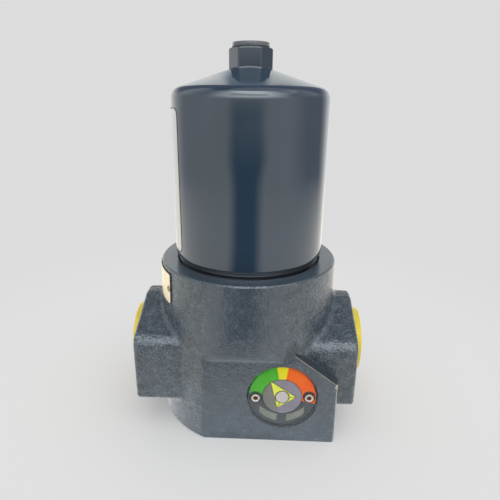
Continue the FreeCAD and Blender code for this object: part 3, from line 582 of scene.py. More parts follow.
def head_paint():
    """Dark blue-grey paint over a cast skin. The pad is about half as rough, the top is machined smooth,
    and the port faces and bores are bare metal. The block's ramp is darkened with painted shade and is
    duller, its small facet is shaded as part of the front, and the run-out is shaded a little upwards.
    Painted highlights run along the run-out's lower edge and on the block's corner."""
    tree, shader = new_finish("head_paint", IOR=1.52)
    x, y, z = separated(tree, object_place(tree))
    top_face = math_node(tree, "GREATER_THAN", z, (head_height - 0.2) * MM)
    off_port = axis_distance(tree, metres(0.0, 0.0, port_z), (0.0, 1.0, 1.0))
    bore = math_node(tree, "LESS_THAN", off_port, (port_spot_radius - 0.1) * MM)
    pad = ramped(tree, y, (pad_y + 0.3) * MM, (pad_y + 0.1) * MM)
    cast = opposite(tree, math_node(tree, "MAXIMUM", top_face, bore))
    share = product(tree, opposite(tree, math_node(tree, "MULTIPLY", pad, 0.45)), cast)
    share = math_node(tree, "MAXIMUM", share, 0.04)
    grain = use(tree, GRAIN, scale=620.0, depth=0.6 * MM, share=share, detail=1.0)
    ramp, facet, run_out = slanted_faces(tree, x, y, z)
    colour = cast_tones(tree, grain, share)
    # A painted highlight along the run-out's lower edge.
    colour = tinted(tree, colour, run_out_highlight(tree), 0.3, (0.16, 0.19, 0.21))
    # Bare-metal wear on the block's edges, and a painted highlight on its corner.
    colour = mixed(tree, block_wear_and_corner_highlight(tree), colour, (0.42, 0.38, 0.31))
    colour = mixed(tree, bore, colour, (0.28, 0.28, 0.29))
    # Painted shade on the block's ramp.
    colour = tinted(tree, colour, ramp, 0.75, (0.010, 0.013, 0.018))
    roughness = math_node(tree, "MULTIPLY_ADD", grain["Height"], 0.10, 0.15)
    roughness = math_node(tree, "SUBTRACT", roughness, math_node(tree, "MULTIPLY", top_face, 0.04))
    roughness = math_node(tree, "MULTIPLY_ADD", ramp, 0.35, roughness)
    facet_normal = (-0.1, -1.0, -0.1)
    normal = place(tree, "Mix", {0: facet, 4: grain["Normal"], 5: facet_normal}, data_type="VECTOR")
    lift = vector_node(tree, "SCALE", (0.0, 0.0, 0.17), Scale=run_out)
    normal = vector_node(tree, "NORMALIZE", vector_node(tree, "ADD", normal.outputs[1], lift))
    feed(tree, shader, Base_Color=colour, Roughness=roughness, Normal=normal, Metallic=bore)


def bowl_paint():
    """Deep blue-black gloss with a few dust specks; the thread and nose below the rim are bare steel."""
    tree, shader = new_finish("bowl_paint", IOR=1.6)
    height = separated(tree, object_place(tree))[2]
    bare = math_node(tree, "LESS_THAN", height, (rim_z - 0.2) * MM)
    drift = use(tree, DRIFT, scale=22.0, first=(0.016, 0.039, 0.069), second=(0.021, 0.045, 0.077))
    specks = use(tree, SPECKS, scale=130.0, size=0.07, share=0.035)
    colour = tinted(tree, drift["Color"], specks["Mask"], 0.35, (0.5, 0.5, 0.5))
    colour = mixed(tree, bare, colour, (0.070, 0.078, 0.092))
    grain = use(tree, GRAIN, scale=260.0, depth=0.012 * MM, share=1.0)
    roughness = math_node(tree, "MULTIPLY_ADD", drift["Factor"], 0.03, 0.07)
    roughness = math_node(tree, "MAXIMUM", roughness, math_node(tree, "MULTIPLY", bare, 0.38))
    feed(tree, shader, Base_Color=colour, Roughness=roughness, Normal=grain["Normal"], Metallic=bare)


def cover_with_grain(tree, shader, colour, scale, depth, roughness, share=0.08):
    """Feeds the colour and an even grain. The roughness grows by a share of the grain's height."""
    grain = use(tree, GRAIN, scale=scale, depth=depth * MM, share=1.0)
    gloss = math_node(tree, "MULTIPLY_ADD", grain["Height"], share, roughness)
    feed(tree, shader, Base_Color=colour, Normal=grain["Normal"], Roughness=gloss)


def plain_finish(name, first, second, roughness, grain_scale, grain_depth, metallic=0.0, specks=0.0):
    """Two close tones, a grain bump and a little dust over plain shader values."""
    tree, shader = new_finish(name, Metallic=metallic)
    colour = use(tree, DRIFT, scale=60.0, first=first, second=second)["Color"]
    if specks:
        dust = use(tree, SPECKS, scale=400.0, size=0.12, share=specks)
        colour = tinted(tree, colour, dust["Mask"], 0.5, (0.5, 0.5, 0.48))
    cover_with_grain(tree, shader, colour, grain_scale, grain_depth, roughness - 0.08)


def edge_distance(tree):
    """A mesh's own distance from its sheet's edge, in metres."""
    return place(tree, "Attribute", attribute_name="edge_distance").outputs["Fac"]


def dial_finish(name, first, second, ring=None, edge_line=None):
    """Printed sheet under the cover, in two close tones. Where they are given, a ring of painted shade
    runs round the indicator's axis between two radii, and a line of its own tone runs along the edge."""
    tree, shader = new_finish(name, Specular_IOR_Level=0.06)
    colour = use(tree, DRIFT, scale=160.0, first=first, second=second)["Color"]
    if ring:
        radius = axis_distance(tree, metres(dial_x, 0.0, dial_z), (1.0, 0.0, 1.0))
        soft = 0.15
        inside = ramped(tree, radius, (ring[0] - soft) * MM, (ring[0] + soft) * MM)
        outside = ramped(tree, radius, (ring[1] + soft) * MM, (ring[1] - soft) * MM)
        # A ring of painted shade round the indicator's axis.
        colour = mixed(tree, product(tree, inside, outside), colour, (0.012, 0.014, 0.016))
    if edge_line:
        colour = mixed(tree, ramped(tree, edge_distance(tree), 0.35 * MM, 0.15 * MM), colour, edge_line)
    cover_with_grain(tree, shader, colour, 1500.0, 0.02, 0.42)


def disc_finish():
    """The indicator's disc: violet-grey, with a grey-green share left of a line under the arrow."""
    tree, shader = new_finish("dial_grey", Specular_IOR_Level=0.15)
    axes = separated(tree, object_place(tree))
    above = math_node(tree, "SUBTRACT", axes[2], dial_z * MM)
    lean = math_node(tree, "MULTIPLY_ADD", above, 0.215, axes[0])
    leaf = ramped(tree, lean, (dial_x - 5.2) * MM, (dial_x - 6.0) * MM)
    right = use(tree, DRIFT, scale=120.0, first=(0.235, 0.220, 0.262), second=(0.275, 0.245, 0.320))
    left = use(tree, DRIFT, scale=120.0, first=(0.170, 0.180, 0.160), second=(0.205, 0.208, 0.190))
    colour = mixed(tree, leaf, right["Color"], left["Color"])
    cover_with_grain(tree, shader, colour, 1500.0, 0.02, 0.42)


def turned_finish(name, colour, roughness, centre=(0.0, 0.0, 0.0), axis=(0.0, 0.0, 1.0), scale=2500.0):
    """Bare metal with turning marks round an axis."""
    tree, shader = new_finish(name, Metallic=1.0)
    marks = use(tree, LATHE, centre=centre, axis=axis, scale=scale)
    drift = use(tree, DRIFT, scale=45.0, first=tuple(0.88 * c for c in colour), second=colour)
    gloss = math_node(tree, "MULTIPLY_ADD", marks["Height"], 0.16, roughness - 0.08)
    feed(tree, shader, Base_Color=drift["Color"], Normal=marks["Normal"], Roughness=gloss)


def edged_sheet_finish(name, face, line, line_width, metallic, roughness):
    """A flat sheet with a dark line along its edge: print on the label, a painted shadow on the
    nameplate.
    """
    tree, shader = new_finish(name, Metallic=metallic)
    # The edge line: print on the label, painted shadow on the nameplate.
    printed = ramped(tree, edge_distance(tree), (line_width + 0.1) * MM, line_width * MM)
    drift = use(tree, DRIFT, scale=40.0, first=tuple(0.95 * c for c in face), second=face)
    colour = mixed(tree, printed, drift["Color"], line)
    cover_with_grain(tree, shader, colour, 900.0, 0.02, roughness - 0.08, share=0.12)


def screw_finish():
    """Plated screws, with painted shade in a rust-brown tone in each socket and a rim of painted
    shade round each one's own axis.
    """
    tree, shader = new_finish("screw_steel", Metallic=1.0)
    rise = screw_offset * math.sin(math.radians(screw_turn_deg))
    from_axes = []
    for side in (-1, 1):
        middle = metres(dial_x + side * screw_offset, 0.0, dial_z + side * rise)
        from_axes.append(axis_distance(tree, middle, (1.0, 0.0, 1.0)))
    reach = math_node(tree, "MINIMUM", *from_axes)
    drift = use(tree, DRIFT, scale=700.0, first=(0.28, 0.26, 0.25), second=(0.44, 0.42, 0.41))
    # Painted shade in the socket, in a rust-brown tone.
    socket = ramped(tree, reach, 1.9 * MM, 1.55 * MM)
    colour = mixed(tree, socket, drift["Color"], (0.11, 0.05, 0.035))
    # Painted shade round the head's rim, at the counterbore in the cover.
    colour = mixed(tree, ramped(tree, reach, 3.0 * MM, 3.25 * MM), colour, (0.10, 0.09, 0.08))
    grain = use(tree, GRAIN, scale=1400.0, depth=0.03 * MM, share=1.0)
    gloss = math_node(tree, "MULTIPLY_ADD", socket, 0.25, 0.26)
    feed(tree, shader, Base_Color=colour, Normal=grain["Normal"], Roughness=gloss)


def lens_finish():
    """Clear moulded cover, almost smooth. Diffuse light and shadows pass it straight, so that the
    printed sheets below it are lit as plainly as the rest."""
    tree, shader = new_finish(
        "clear_plastic", Base_Color=(0.97, 0.98, 0.98), Transmission_Weight=1.0, IOR=1.22,
        Specular_IOR_Level=0.10
    )
    specks = use(tree, SPECKS, scale=500.0, size=0.12, share=0.02)
    feed(tree, shader, Roughness=math_node(tree, "MULTIPLY_ADD", specks["Mask"], 0.3, 0.02))
    shade = blended(tree, seen_rays(tree), place(tree, "BsdfTransparent"), shader)
    tree.links.new(shade.outputs[0], tree.nodes["Material Output"].inputs["Surface"])


head_paint()
bowl_paint()
plain_finish("plug_paint", (0.11, 0.12, 0.14), (0.14, 0.15, 0.17), 0.34, 500.0, 0.04, specks=0.05)
# The nameplate's dark edge line is a painted shadow.
edged_sheet_finish("nameplate_brass", (0.86, 0.77, 0.55), (0.08, 0.07, 0.05), 0.6, 0.5, 0.40)
edged_sheet_finish("label_foil", (0.52, 0.52, 0.51), (0.02, 0.022, 0.026), 0.9, 0.4, 0.30)
turned_finish("plated_steel", (0.37, 0.35, 0.36), 0.26, scale=1500.0)
turned_finish("rivet_brass", (0.30, 0.24, 0.14), 0.35, scale=1500.0)
turned_finish("machined_steel", (0.58, 0.58, 0.59), 0.32)
plain_finish("spring_steel", (0.4, 0.4, 0.42), (0.5, 0.5, 0.52), 0.3, 900.0, 0.01, metallic=1.0)
plain_finish("magnet_metal", (0.5, 0.5, 0.51), (0.57, 0.57, 0.58), 0.25, 900.0, 0.01, metallic=1.0)
plain_finish("seal_rubber", (0.012, 0.012, 0.012), (0.02, 0.02, 0.02), 0.5, 700.0, 0.03)
plain_finish("backup_plastic", (0.72, 0.71, 0.68), (0.8, 0.8, 0.77), 0.4, 700.0, 0.02)
plain_finish("filter_medium", (0.62, 0.6, 0.5), (0.74, 0.72, 0.63), 0.85, 1600.0, 0.1)
plain_finish("cap_yellow", (0.78, 0.60, 0.03), (0.86, 0.69, 0.05), 0.42, 300.0, 0.04, specks=0.03)
for name, colour in (("indicator_alloy", (0.66, 0.67, 0.69)), ("piston_brass", (0.72, 0.55, 0.28))):
    turned_finish(name, colour, 0.3, centre=metres(dial_x, 0.0, dial_z), axis=(0.0, 1.0, 0.0))
# Painted shade round the disc on the plate and windows, and a painted shadow round the hub on the arrow.
dial_finish("dial_dark", (0.068, 0.084, 0.096), (0.082, 0.100, 0.114), ring=(14.0, 15.3))
dial_finish("dial_light", (0.21, 0.23, 0.195), (0.26, 0.28, 0.24), ring=(14.0, 15.3))
dial_finish(
    "arrow_lime", (0.80, 0.85, 0.075), (0.88, 0.91, 0.10), ring=(4.6, 5.5), edge_line=(0.09, 0.11, 0.02)
)
dial_finish("scale_green", (0.055, 0.42, 0.018), (0.080, 0.50, 0.030))
dial_finish("scale_yellow", (0.84, 0.75, 0.008), (0.92, 0.82, 0.012))
dial_finish("scale_red", (0.97, 0.155, 0.003), (0.99, 0.115, 0.002))
disc_finish()
screw_finish()
lens_finish()

# Nodes whose finish isn't the one that their slot is named for
OWN_FINISHES = {"nameplate_rivets": "rivet_brass", "dial_screws": "screw_steel"}


def finish_of(node, slot):
    """The node's own finish where it has one, and else the finish that its slot is named for."""
    return FINISHES[OWN_FINISHES.get(node, slot)]


for part in frame["record"]["subparts"]:
    materials = nodes[part["node"]].data.materials
    materials.clear()
    materials.append(finish_of(part["node"], part["material_slot"]))


def settle(piece, body, slot, node):
    """Gives a piece its finish and the body it moves with, and hides the CAD node that it stands for."""
    piece.data.materials.append(finish_of(node, slot))
    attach(piece, body)
    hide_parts(node)


# Bowl


def neck_rows(theta):
    """The bowl's nose with its seal groove, the thread, the neck above it and the outside wall up to
    the lower part of the cone."""
    nose = rounded_run([
        (bowl_inner_radius, nose_low), (nose_radius, nose_low, 0.8), (nose_radius, groove_low, 0.3),
        (groove_radius, groove_low, 0.3), (groove_radius, groove_high, 0.3),
        (nose_radius, groove_high, 0.3), (nose_radius, nose_high, 0.5),
        (bowl_thread_radius - 0.2, bowl_thread_low - 0.2), (bowl_thread_radius, bowl_thread_low),
    ])
    levels = np.arange(bowl_thread_low + 0.1, bowl_thread_high - 0.1, 0.3)
    thread = thread_rows(theta, bowl_thread_radius, bowl_thread_depth, bowl_thread_pitch, levels)
    outside = rounded_run([
        (bowl_thread_radius, bowl_thread_high), (neck_radius, neck_low, 0.3), (neck_radius, rim_z, 0.5),
        (bowl_radius - rim_chamfer, rim_z, 0.4), (bowl_radius, rim_z + rim_chamfer, 0.8),
        (bowl_radius, shoulder_z, shoulder_fillet), (cone_split_radius, cone_height(cone_split_radius)),
    ], 8)
    return stacked(plain_rows(nose, theta), thread, plain_rows(outside, theta))


def hexagon_rows(theta):
    """The upper cone, whose rows pass from a circle to the hexagon, and the hexagon itself. A fillet at
    its foot touches the cone and the wall; at its top the crown cuts the corners down by a share of
    their reach past the crown's radius, and a round edge leads to the flat top."""
    wall = hexagon_radius(theta, hex_flats, hex_corner_fillet)
    foot = hex_foot_fillet
    slope = math.radians(cone_deg)
    foot_centre = cone_height(wall + foot) + foot / math.cos(slope)
    share = np.linspace(0, 1, 7)[1:-1, None]
    cone_end = wall + foot * (1 - math.sin(slope))
    cone_radius = cone_split_radius + (cone_end - cone_split_radius) * share
    turn = np.linspace(1.5 * math.pi - slope, math.pi, 8)[:, None]
    wall_top = hex_top - hex_crown_slope * np.clip(wall - hex_crown_radius, 0, None)
    edge_in = np.array([0.0, 0.05, 0.16, 0.32, 0.5])[:, None]
    crown = np.minimum(wall - 0.6, hex_crown_radius - 0.1)[None]
    return stacked(
        [cone_radius, cone_height(cone_radius)],
        [wall + foot + foot * np.cos(turn), foot_centre + foot * np.sin(turn)],
        [wall[None], (foot_centre + 0.5)[None]],
        [wall[None], (wall_top - 1.0)[None]],
        [wall - edge_in, wall_top - edge_in[::-1]],
        [crown, 0 * crown + hex_top]
    )


def bowl_shell():
    """The bowl as one closed surface of rows about Z, from the nose over the outside and the hexagon,
    down the plug's hole and the vent, and back along the inner wall."""
    theta = around(240)
    hole_floor = hex_top - plug_hole_length
    bore = rounded_run([
        (12.0, hex_top), (plug_hole_radius + 0.6, hex_top), (plug_hole_radius, hex_top - 0.6),
        (plug_hole_radius, hole_floor), (plug_vent_radius, hole_floor),
        (plug_vent_radius, bowl_inner_top, 0.8), (bowl_inner_radius, bowl_inner_top, bowl_inner_fillet),
        (bowl_inner_radius, nose_low + 1.0),
    ])
    radius, height = stacked(neck_rows(theta), hexagon_rows(theta), plain_rows(bore, theta))
    points = lathe_points(radius, height, theta)
    return new_piece("bowl_shell", points, grid_faces(len(radius), len(theta), True, True))


settle(bowl_shell(), "bowl", "bowl_paint", "bowl")


# Label and nameplate


def keep_edge_distance(piece, low, high, half_width, corner):
    """Each point keeps its distance from the sheet's edge. On the flat sheet it is the nearest of the
    four sides, and at a corner the radius less the distance from the rounding's centre."""
    co = np.empty(len(piece.data.vertices) * 3, np.float32)
    piece.data.vertices.foreach_get("co", co)
    x, y, z = co.reshape(-1, 3).T / MM
    beside = half_width - np.abs((np.arctan2(y, x) % TURN - math.pi) * np.hypot(x, y))
    above = np.minimum(z - low, high - z)
    rounded = corner - np.hypot(corner - beside, corner - above)
    in_corner = (beside < corner) & (above < corner)
    edge = np.where(in_corner, rounded, np.minimum(beside, above)) * MM
    piece.data.attributes.new("edge_distance", "FLOAT", "POINT").data.foreach_set("value", edge)


def curved_sheet(name, low, high, half_width, corner, thickness, radius_at):
    """A sheet bent round the -X side. Across it the angle is the arc length over the radius; near both
    ends the half width follows a quarter circle. Rows lie closer at the ends, and columns at the sides,
    for the rounded corners and the dark edge line: print on the label, a painted shadow on the nameplate."""
    end_rows = corner * np.array([0.0, 0.03, 0.07, 0.12, 0.18, 0.26, 0.36, 0.52, 0.72, 1.0])
    between = np.linspace(low + corner, high - corner, 8)[1:-1]
    levels = np.concatenate([low + end_rows, between, (high - end_rows)[::-1]])
    side_columns = np.array([0.0, 0.3, 0.6, 0.75, 1.2, 1.4, 1.6, 1.8, 3.0])
    to_end = np.minimum(levels - low, high - levels)
    inward = np.clip(corner - to_end, 0, None)
    half = (half_width - corner + np.sqrt(corner ** 2 - inward ** 2))[:, None]
    middle = (half - side_columns[-1]) * np.linspace(-1, 1, 14)[None, 1:-1]
    across = np.concatenate([-half + side_columns, middle, (half - side_columns)[:, ::-1]], axis=1)
    radius = np.repeat(radius_at(levels)[:, None], across.shape[1], 1)
    height = np.repeat(levels[:, None], across.shape[1], 1)
    points = lathe_points(radius, height, math.pi + across / radius)
    piece = new_piece(name, points, grid_faces(*across.shape, False, False))
    keep_edge_distance(piece, low, high, half_width, corner)
    thick = piece.modifiers.new("thickness", "SOLIDIFY")
    thick.thickness = thickness * MM
    thick.offset = -1
    return piece


label = curved_sheet(
    "bowl_label_foil", rim_z + label_above_rim, shoulder_z - label_below_shoulder,
    bowl_radius * math.radians(label_half_deg), label_corner, label_thickness,
    lambda level: 0 * level + bowl_radius + label_face_off_wall
)
settle(label, "bowl", "label_foil", "bowl_label")
nameplate_half = head_radius(nameplate_measured_z) * math.radians(nameplate_half_deg)
plate = curved_sheet(
    "nameplate_sheet", nameplate_low, head_height - nameplate_below_top, nameplate_half,
    nameplate_corner, nameplate_thickness, lambda level: head_radius(level) + nameplate_face_off_wall
)
settle(plate, "head", "nameplate_brass", "nameplate")


# Drain plug and port caps


def drain_plug_shell():
    """Threaded stem, round flange and hexagonal socket, as rows from the stem's foot to the socket's
    floor; the socket's rows follow the hexagon's radius."""
    theta = around(96)
    foot = hex_top - plug_thread_length
    base = hex_top + plug_seal_height
    top = base + plug_flange_height
    floor = top - plug_socket_depth
    stem = rounded_run([(0, foot), (plug_thread_radius - 1.0, foot), (plug_thread_radius, foot + 1.0)])
    levels = np.arange(foot + 1.1, base - 1.0, 0.2)
    thread = thread_rows(theta, plug_thread_radius, plug_thread_depth, plug_thread_pitch, levels)
    flange = rounded_run([
        (plug_relief_radius, base - 0.9), (plug_relief_radius, base, 0.2),
        (plug_flange_radius, base, 0.3), (plug_flange_radius, top, 0.7), (6.2, top), (5.4, top),
    ])
    wall = hexagon_radius(theta, plug_socket_flats)
    socket_heights = np.array([top - 0.5, floor])[:, None]
    socket = [np.repeat(wall[None], 2, 0), np.repeat(socket_heights, len(theta), 1)]
    cone = rounded_run([(3.2, floor - 0.1), (2.0, floor - 0.5), (0, floor - 0.9)])
    radius, height = stacked(
        plain_rows(stem, theta), thread, plain_rows(flange, theta), socket, plain_rows(cone, theta)
    )
    points = lathe_points(radius, height, theta)
    return new_piece("drain_plug_shell", points, grid_faces(len(radius), len(theta), False, True))


def cap_shell(name, side):
    """Moulded push-in cap: a closed surface of revolution about the port's axis, with a skirt in the
    port, a flange on the spot face and a wall outside."""
    theta = around(120)
    seat = -port_spot_depth
    outer_floor = seat + cap_wall
    cavity_floor = cap_floor - cap_skirt_length
    rim_radius = cap_flange_radius - cap_wall
    outer = rounded_run([
        (0, -cap_skirt_length), (cap_skirt_radius, -cap_skirt_length, 0.9),
        (cap_skirt_radius, seat, 0.25), (cap_flange_radius, seat, 0.5),
        (cap_flange_radius, cap_height, 0.8), (rim_radius, cap_height, 0.7),
        (rim_radius, outer_floor, 1.2), (cap_cavity_radius, outer_floor, 0.6),
        (cap_cavity_radius, cavity_floor, 1.0), (0, cavity_floor),
    ])
    points = on_port(lathe_points(*plain_rows(outer, theta), theta), side)
    return new_piece(name, points, grid_faces(len(outer), len(theta), False, True), 50)


settle(drain_plug_shell(), "drain_plug", "plug_paint", "drain_plug")
settle(cap_shell("inlet_cap_shell", -1), "inlet_cap", "cap_yellow", "inlet_cap")
settle(cap_shell("outlet_cap_shell", 1), "outlet_cap", "cap_yellow", "outlet_cap")


# Head, cover, screws, hub and arrow: the solids with finer edges


def merged_copy(node, name):
    """A copy of a CAD node's mesh with its loose triangles joined and flat faces made whole."""
    mesh = nodes[node].data.copy()
    mesh.name = name
    work = bmesh.new()
    work.from_mesh(mesh)
    bmesh.ops.remove_doubles(work, verts=work.verts, dist=2e-6)
    bmesh.ops.dissolve_limit(
        work, angle_limit=math.radians(0.3), verts=work.verts, edges=work.edges, delimit={"NORMAL"}
    )
    work.to_mesh(mesh)
    work.free()
    mesh.materials.clear()
    return linked(name, mesh)


def soften(piece, width, keep_sharp=False):
    """Rounds a piece's edges, and keeps its flat faces evenly shaded."""
    bevel = piece.modifiers.new("soft_edges", "BEVEL")
    bevel.width = width * MM
    bevel.segments = 2
    bevel.limit_method = "ANGLE"
    bevel.angle_limit = math.radians(30)
    bevel.miter_outer = "MITER_ARC"
    piece.data.shade_smooth()
    even = piece.modifiers.new("even_faces", "WEIGHTED_NORMAL")
    even.weight = 60
    even.keep_sharp = keep_sharp


def is_run_out(face):
    """True for the slanted faces above the pad, which look forward and a little down."""
    looks_down = -0.4 < face.normal.z < -0.1
    above_pad = face.calc_center_median().z > 68.0 * MM
    return face.normal.y < -0.9 and looks_down and above_pad


def split_run_out(piece):
    """Keeps the shading of the run-out apart from the wall that it cuts."""
    work = bmesh.new()
    work.from_mesh(piece.data)
    for edge in work.edges:
        edge.smooth = len({is_run_out(face) for face in edge.link_faces}) < 2
    work.to_mesh(piece.data)
    work.free()


def arrow_sheet():
    """The pointer's arrow with a rim of narrow faces, whose inner corners lie a set distance inside;
    each point keeps that distance for the dark printed edge."""
    inset = 0.45 * MM
    piece = merged_copy("pointer_arrow", "pointer_arrow_sheet")
    work = bmesh.new()
    work.from_mesh(piece.data)
    layer = work.verts.layers.float.new("edge_distance")
    flat = [face for face in work.faces if abs(face.normal.y) > 0.9]
    before = set(work.verts)
    bmesh.ops.inset_individual(work, faces=flat, thickness=inset, use_even_offset=True)
    for vert in work.verts:
        vert[layer] = 0.0 if vert in before else inset
    work.to_mesh(piece.data)
    work.free()
    return piece


head = merged_copy("head_casting", "head_shell")
split_run_out(head)
soften(head, head_edge_round, keep_sharp=True)
settle(head, "head", "head_paint", "head_casting")
for node, body, slot, edge_round in (
    ("dial_lens", "head", "clear_plastic", 0.12),
    ("dial_screws", "head", "plated_steel", 0.25),
    ("pointer_hub", "pointer", "plated_steel", 0.12),
):
    piece = merged_copy(node, node + "_shell")
    soften(piece, edge_round)
    settle(piece, body, slot, node)
settle(arrow_sheet(), "pointer", "arrow_lime", "pointer_arrow")


# Springs: merged copies of the spring solids, which move with the head


def spring_coil(node):
    """A merged copy of a spring's solid in spring steel, moving with the head, with a mesh of its own."""
    coil = merged_copy(node, node + "_coil")
    settle(coil, "head", "spring_steel", node)
    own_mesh(coil)


spring_coil(
    "bypass_spring",
)
spring_coil(
    "indicator_spring",
)


# Floor, light and camera


backdrop_colour = (0.716, 0.716, 0.716)


# Tone round the horizon as gloss shows it, from behind by the left side and the front to the right:
# (azimuth in degrees from -Y towards +X, half of the tone, since a ramp's colours end at 1)
HORIZON = (
    (-180, (0.41, 0.41, 0.41)), (-140, (0.74, 0.74, 0.72)), (-103, (0.41, 0.40, 0.38)),
    (-62, (0.65, 0.62, 0.55)), (58, (0.68, 0.64, 0.56)), (90, (0.33, 0.32, 0.30)),
    (120, (0.19, 0.19, 0.19)), (143, (0.68, 0.68, 0.68)), (180, (0.41, 0.41, 0.41)),
)


def horizon_tone(tree, azimuth):
    """The horizon's tones as a colour ramp over the azimuth."""
    ring = place(tree, "ValToRGB", {0: math_node(tree, "MULTIPLY_ADD", azimuth, 1 / TURN, 0.5)})
    stops = ring.color_ramp.elements
    while len(stops) < len(HORIZON):
        stops.new(0.5)
    for stop, (degrees, tone) in zip(stops, HORIZON):
        stop.position = degrees / 360 + 0.5
        stop.color = (*tone, 1)
    return vector_node(tree, "SCALE", ring.outputs[0], Scale=2.0)


def front_gap(tree, azimuth, start):
    """Mask of the dark gap in front, between a left and a right azimuth with soft sides."""
    soft = 0.16
    left = ramped(tree, math_node(tree, "SUBTRACT", azimuth, start["Gap left"]), -soft, soft)
    right = ramped(tree, math_node(tree, "SUBTRACT", azimuth, start["Gap right"]), soft, -soft)
    return product(tree, left, right, start["Gap"])


def ceiling_tone(tree, x, z, azimuth, slope, level):
    """Tones above the horizon: even in front, brighter behind with one darker strip, and dark overhead
    and past an arch behind, where height plus a share of the distance beside it passes a limit."""
    off_front = math_node(tree, "ABSOLUTE", azimuth)
    side = math_node(tree, "DIVIDE", x, level)
    rear = mixed(tree, ramped(tree, side, -0.5, 0.5), (1.32, 1.35, 1.32), (1.02, 1.05, 1.05))
    off_strip = math_node(tree, "ABSOLUTE", math_node(tree, "ADD", side, 0.055))
    rear = mixed(tree, ramped(tree, off_strip, 0.14, 0.09), rear, (0.34, 0.41, 0.48))
    ceiling = mixed(tree, ramped(tree, off_front, 1.2, 2.0), (0.9, 0.9, 0.9), rear)
    beside_arch = math_node(tree, "ABSOLUTE", math_node(tree, "ADD", x, 0.055))
    past_arch = ramped(tree, math_node(tree, "MULTIPLY_ADD", beside_arch, 1.3, z), 0.735, 0.805)
    past_arch = product(tree, past_arch, ramped(tree, off_front, 1.9, 2.3))
    dark = math_node(tree, "MAXIMUM", ramped(tree, slope, 1.2, 2.0), past_arch)
    return mixed(tree, dark, ceiling, (0.25, 0.25, 0.28))


def lamp_mask(tree, azimuth, slope):
    """Mask of the lamp, a soft patch in front with a duller middle."""
    patch = product(
        tree, ramped(tree, azimuth, -1.3, -0.1), ramped(tree, azimuth, 1.25, 0.3),
        ramped(tree, slope, 0.06, 0.45), ramped(tree, slope, 2.5, 1.9)
    )
    middle = ramped(tree, math_node(tree, "ABSOLUTE", azimuth), 0.6, 0.4)
    dip = product(tree, ramped(tree, slope, 0.42, 0.56), ramped(tree, slope, 0.95, 0.78), middle, 0.6)
    return product(tree, patch, opposite(tree, dip))


def studio_tone_group():
    """The studio as gloss shows it. Azimuth is the angle from -Y towards +X, and slope is height over
    level distance. From the horizon upwards come its ring of tones with the gap in front, the ceiling
    with the arch behind, and the lamp. A near floor has one bright tone all round."""
    tree, start, end = new_group(
        "studio_tone",
        {"Direction": (0.0, -1.0, 0.0), "Near": 0.0, "Gap": 1.0, "Gap left": -0.42, "Gap right": 0.36},
        {"Color": "Color"}
    )
    x, y, z = separated(tree, start["Direction"])
    flat = vector_node(tree, "MULTIPLY", start["Direction"], (1.0, 1.0, 0.0))
    level = math_node(tree, "MAXIMUM", vector_node(tree, "LENGTH", flat, output="Value"), 0.001)
    azimuth = math_node(tree, "ARCTAN2", x, math_node(tree, "MULTIPLY", y, -1.0))
    slope = math_node(tree, "DIVIDE", z, level)
    tone = mixed(tree, start["Near"], horizon_tone(tree, azimuth), (1.55, 1.50, 1.37))
    tone = mixed(tree, front_gap(tree, azimuth, start), tone, (0.08, 0.09, 0.10))
    ceiling = ceiling_tone(tree, x, z, azimuth, slope, level)
    tone = mixed(tree, ramped(tree, slope, 0.12, 0.5), tone, ceiling)
    tone = mixed(tree, lamp_mask(tree, azimuth, slope), tone, (5.4, 5.7, 5.8))
    tree.links.new(tone, end["Color"])
    return tree


STUDIO = studio_tone_group()


def floor_gloss(tree, where, reach):
    """The floor's tone in a gloss, by the distance from the filter. The gap starts outside a small
    circle, fades slowly with the distance and shifts its sides; the foot in front has a bright rim."""
    closeness = math_node(tree, "DIVIDE", 1.0, reach)
    far_gap = ramped(tree, closeness, -0.1, 0.75, 0.70, 1.0)
    gap_left = ramped(tree, reach, 0.25, 0.5, -0.42, -0.36)
    gap_left = math_node(tree, "ADD", gap_left, ramped(tree, reach, 0.9, 2.2, 0.0, -0.08))
    studio = use(
        tree, STUDIO, direction=where, near=ramped(tree, reach, 1.4, 0.4),
        gap=product(tree, ramped(tree, reach, 0.14, 0.21), far_gap),
        gap_left=gap_left, gap_right=ramped(tree, reach, 0.9, 2.2, 0.28, 0.40)
    )
    in_front = ramped(tree, separated(tree, where)[1], 0.02, -0.06)
    rim = product(tree, in_front, ramped(tree, reach, 0.13, 0.085))
    return mixed(tree, rim, studio["Color"], (1.75, 1.85, 1.9))


def stage_floor():
    """A pale floor whose lit middle fades into the backdrop's own tone. Gloss sees the studio's tone
    from a little way outside the filter's foot."""
    size = 8.0
    corners = np.array([(-size, -size, 0), (size, -size, 0), (size, size, 0), (-size, size, 0)]) / MM
    floor = new_piece("stage_floor", corners, np.array([[0, 1, 2, 3]]))
    material = bpy.data.materials.new("pale_floor")
    material.use_nodes = True
    tree = material.node_tree
    tree.nodes.clear()
    where = object_place(tree)
    reach = vector_node(tree, "LENGTH", where, output="Value")
    lit = place(tree, "BsdfDiffuse", {"Color": (0.82, 0.82, 0.82)})
    backdrop = place(tree, "Emission", {"Color": backdrop_colour})
    shade = blended(tree, ramped(tree, reach, 0.08, 0.5, 0.3, 1.0), lit, backdrop)
    glow = place(tree, "Emission", {"Color": floor_gloss(tree, where, reach)})
    in_gloss = product(tree, mirror_rays(tree), ramped(tree, reach, 0.05, 0.08))
    shade = blended(tree, in_gloss, shade, glow)
    place(tree, "OutputMaterial", {"Surface": shade.outputs[0]})
    floor.data.materials.append(material)


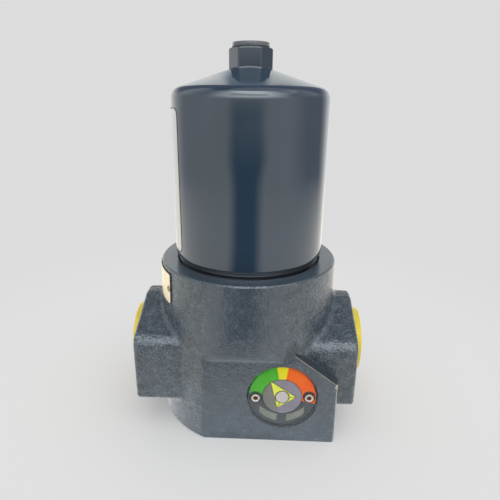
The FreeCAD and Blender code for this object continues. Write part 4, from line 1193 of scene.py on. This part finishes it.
def backdrop_world():
    """The backdrop's tone for the camera, the studio's tone for gloss, and a plain sky for the light."""
    world = bpy.data.worlds.new("backdrop")
    bpy.context.scene.world = world
    world.use_nodes = True
    tree = world.node_tree
    tree.nodes.clear()
    sky = place(tree, "Background", {"Color": (1, 1, 1), "Strength": 0.78})
    backdrop = place(tree, "Background", {"Color": backdrop_colour, "Strength": 1.0})
    direction = place(tree, "TexCoord").outputs["Generated"]
    gap = ramped(tree, separated(tree, direction)[2], 0.12, 0.03, 0.0, 0.70)
    studio = use(tree, STUDIO, direction=direction, gap=gap)
    glow = place(tree, "Background", {"Color": studio["Color"], "Strength": 1.0})
    shade = blended(tree, seen_rays(tree), sky, backdrop)
    shade = blended(tree, mirror_rays(tree), shade, glow)
    place(tree, "OutputWorld", {"Surface": shade.outputs[0]})


def soft_sun():
    """One very wide sun from above, a little to the front and to the right."""
    sun = bpy.data.lights.new("soft_top", "SUN")
    sun.energy = 0.75
    sun.angle = math.radians(70)
    linked("soft_top", sun).rotation_euler = (math.radians(20), math.radians(16), 0)


def photo_camera():
    """The view of the photograph: place, turn, pan, pitch and roll fitted to the filter's outlines."""
    eye = (0.01311, -0.33676, 0.24795)
    pitch = math.radians(19.088)
    pan = math.radians(0.184)
    roll = 0.0127
    turn = math.radians(2.23)
    level = Vector((math.sin(pan), math.cos(pan), 0))
    forward = level * math.cos(pitch) - Vector((0, 0, math.sin(pitch)))
    level_right = Vector((math.cos(pan), -math.sin(pan), 0))
    level_up = level_right.cross(forward)
    right = level_right * math.cos(roll) + level_up * math.sin(roll)
    up = level_up * math.cos(roll) - level_right * math.sin(roll)
    data = bpy.data.cameras.new("camera")
    data.lens = 31.91
    data.sensor_width = 36
    camera = linked("camera", data)
    axes = Matrix((right, up, -forward)).transposed().to_4x4()
    camera.matrix_world = Matrix.Translation(eye) @ Matrix.Rotation(turn, 4, "Z") @ axes
    bpy.context.scene.camera = camera


stage_floor()
backdrop_world()
soft_sun()
photo_camera()
bpy.context.scene.view_settings.view_transform = "Standard"
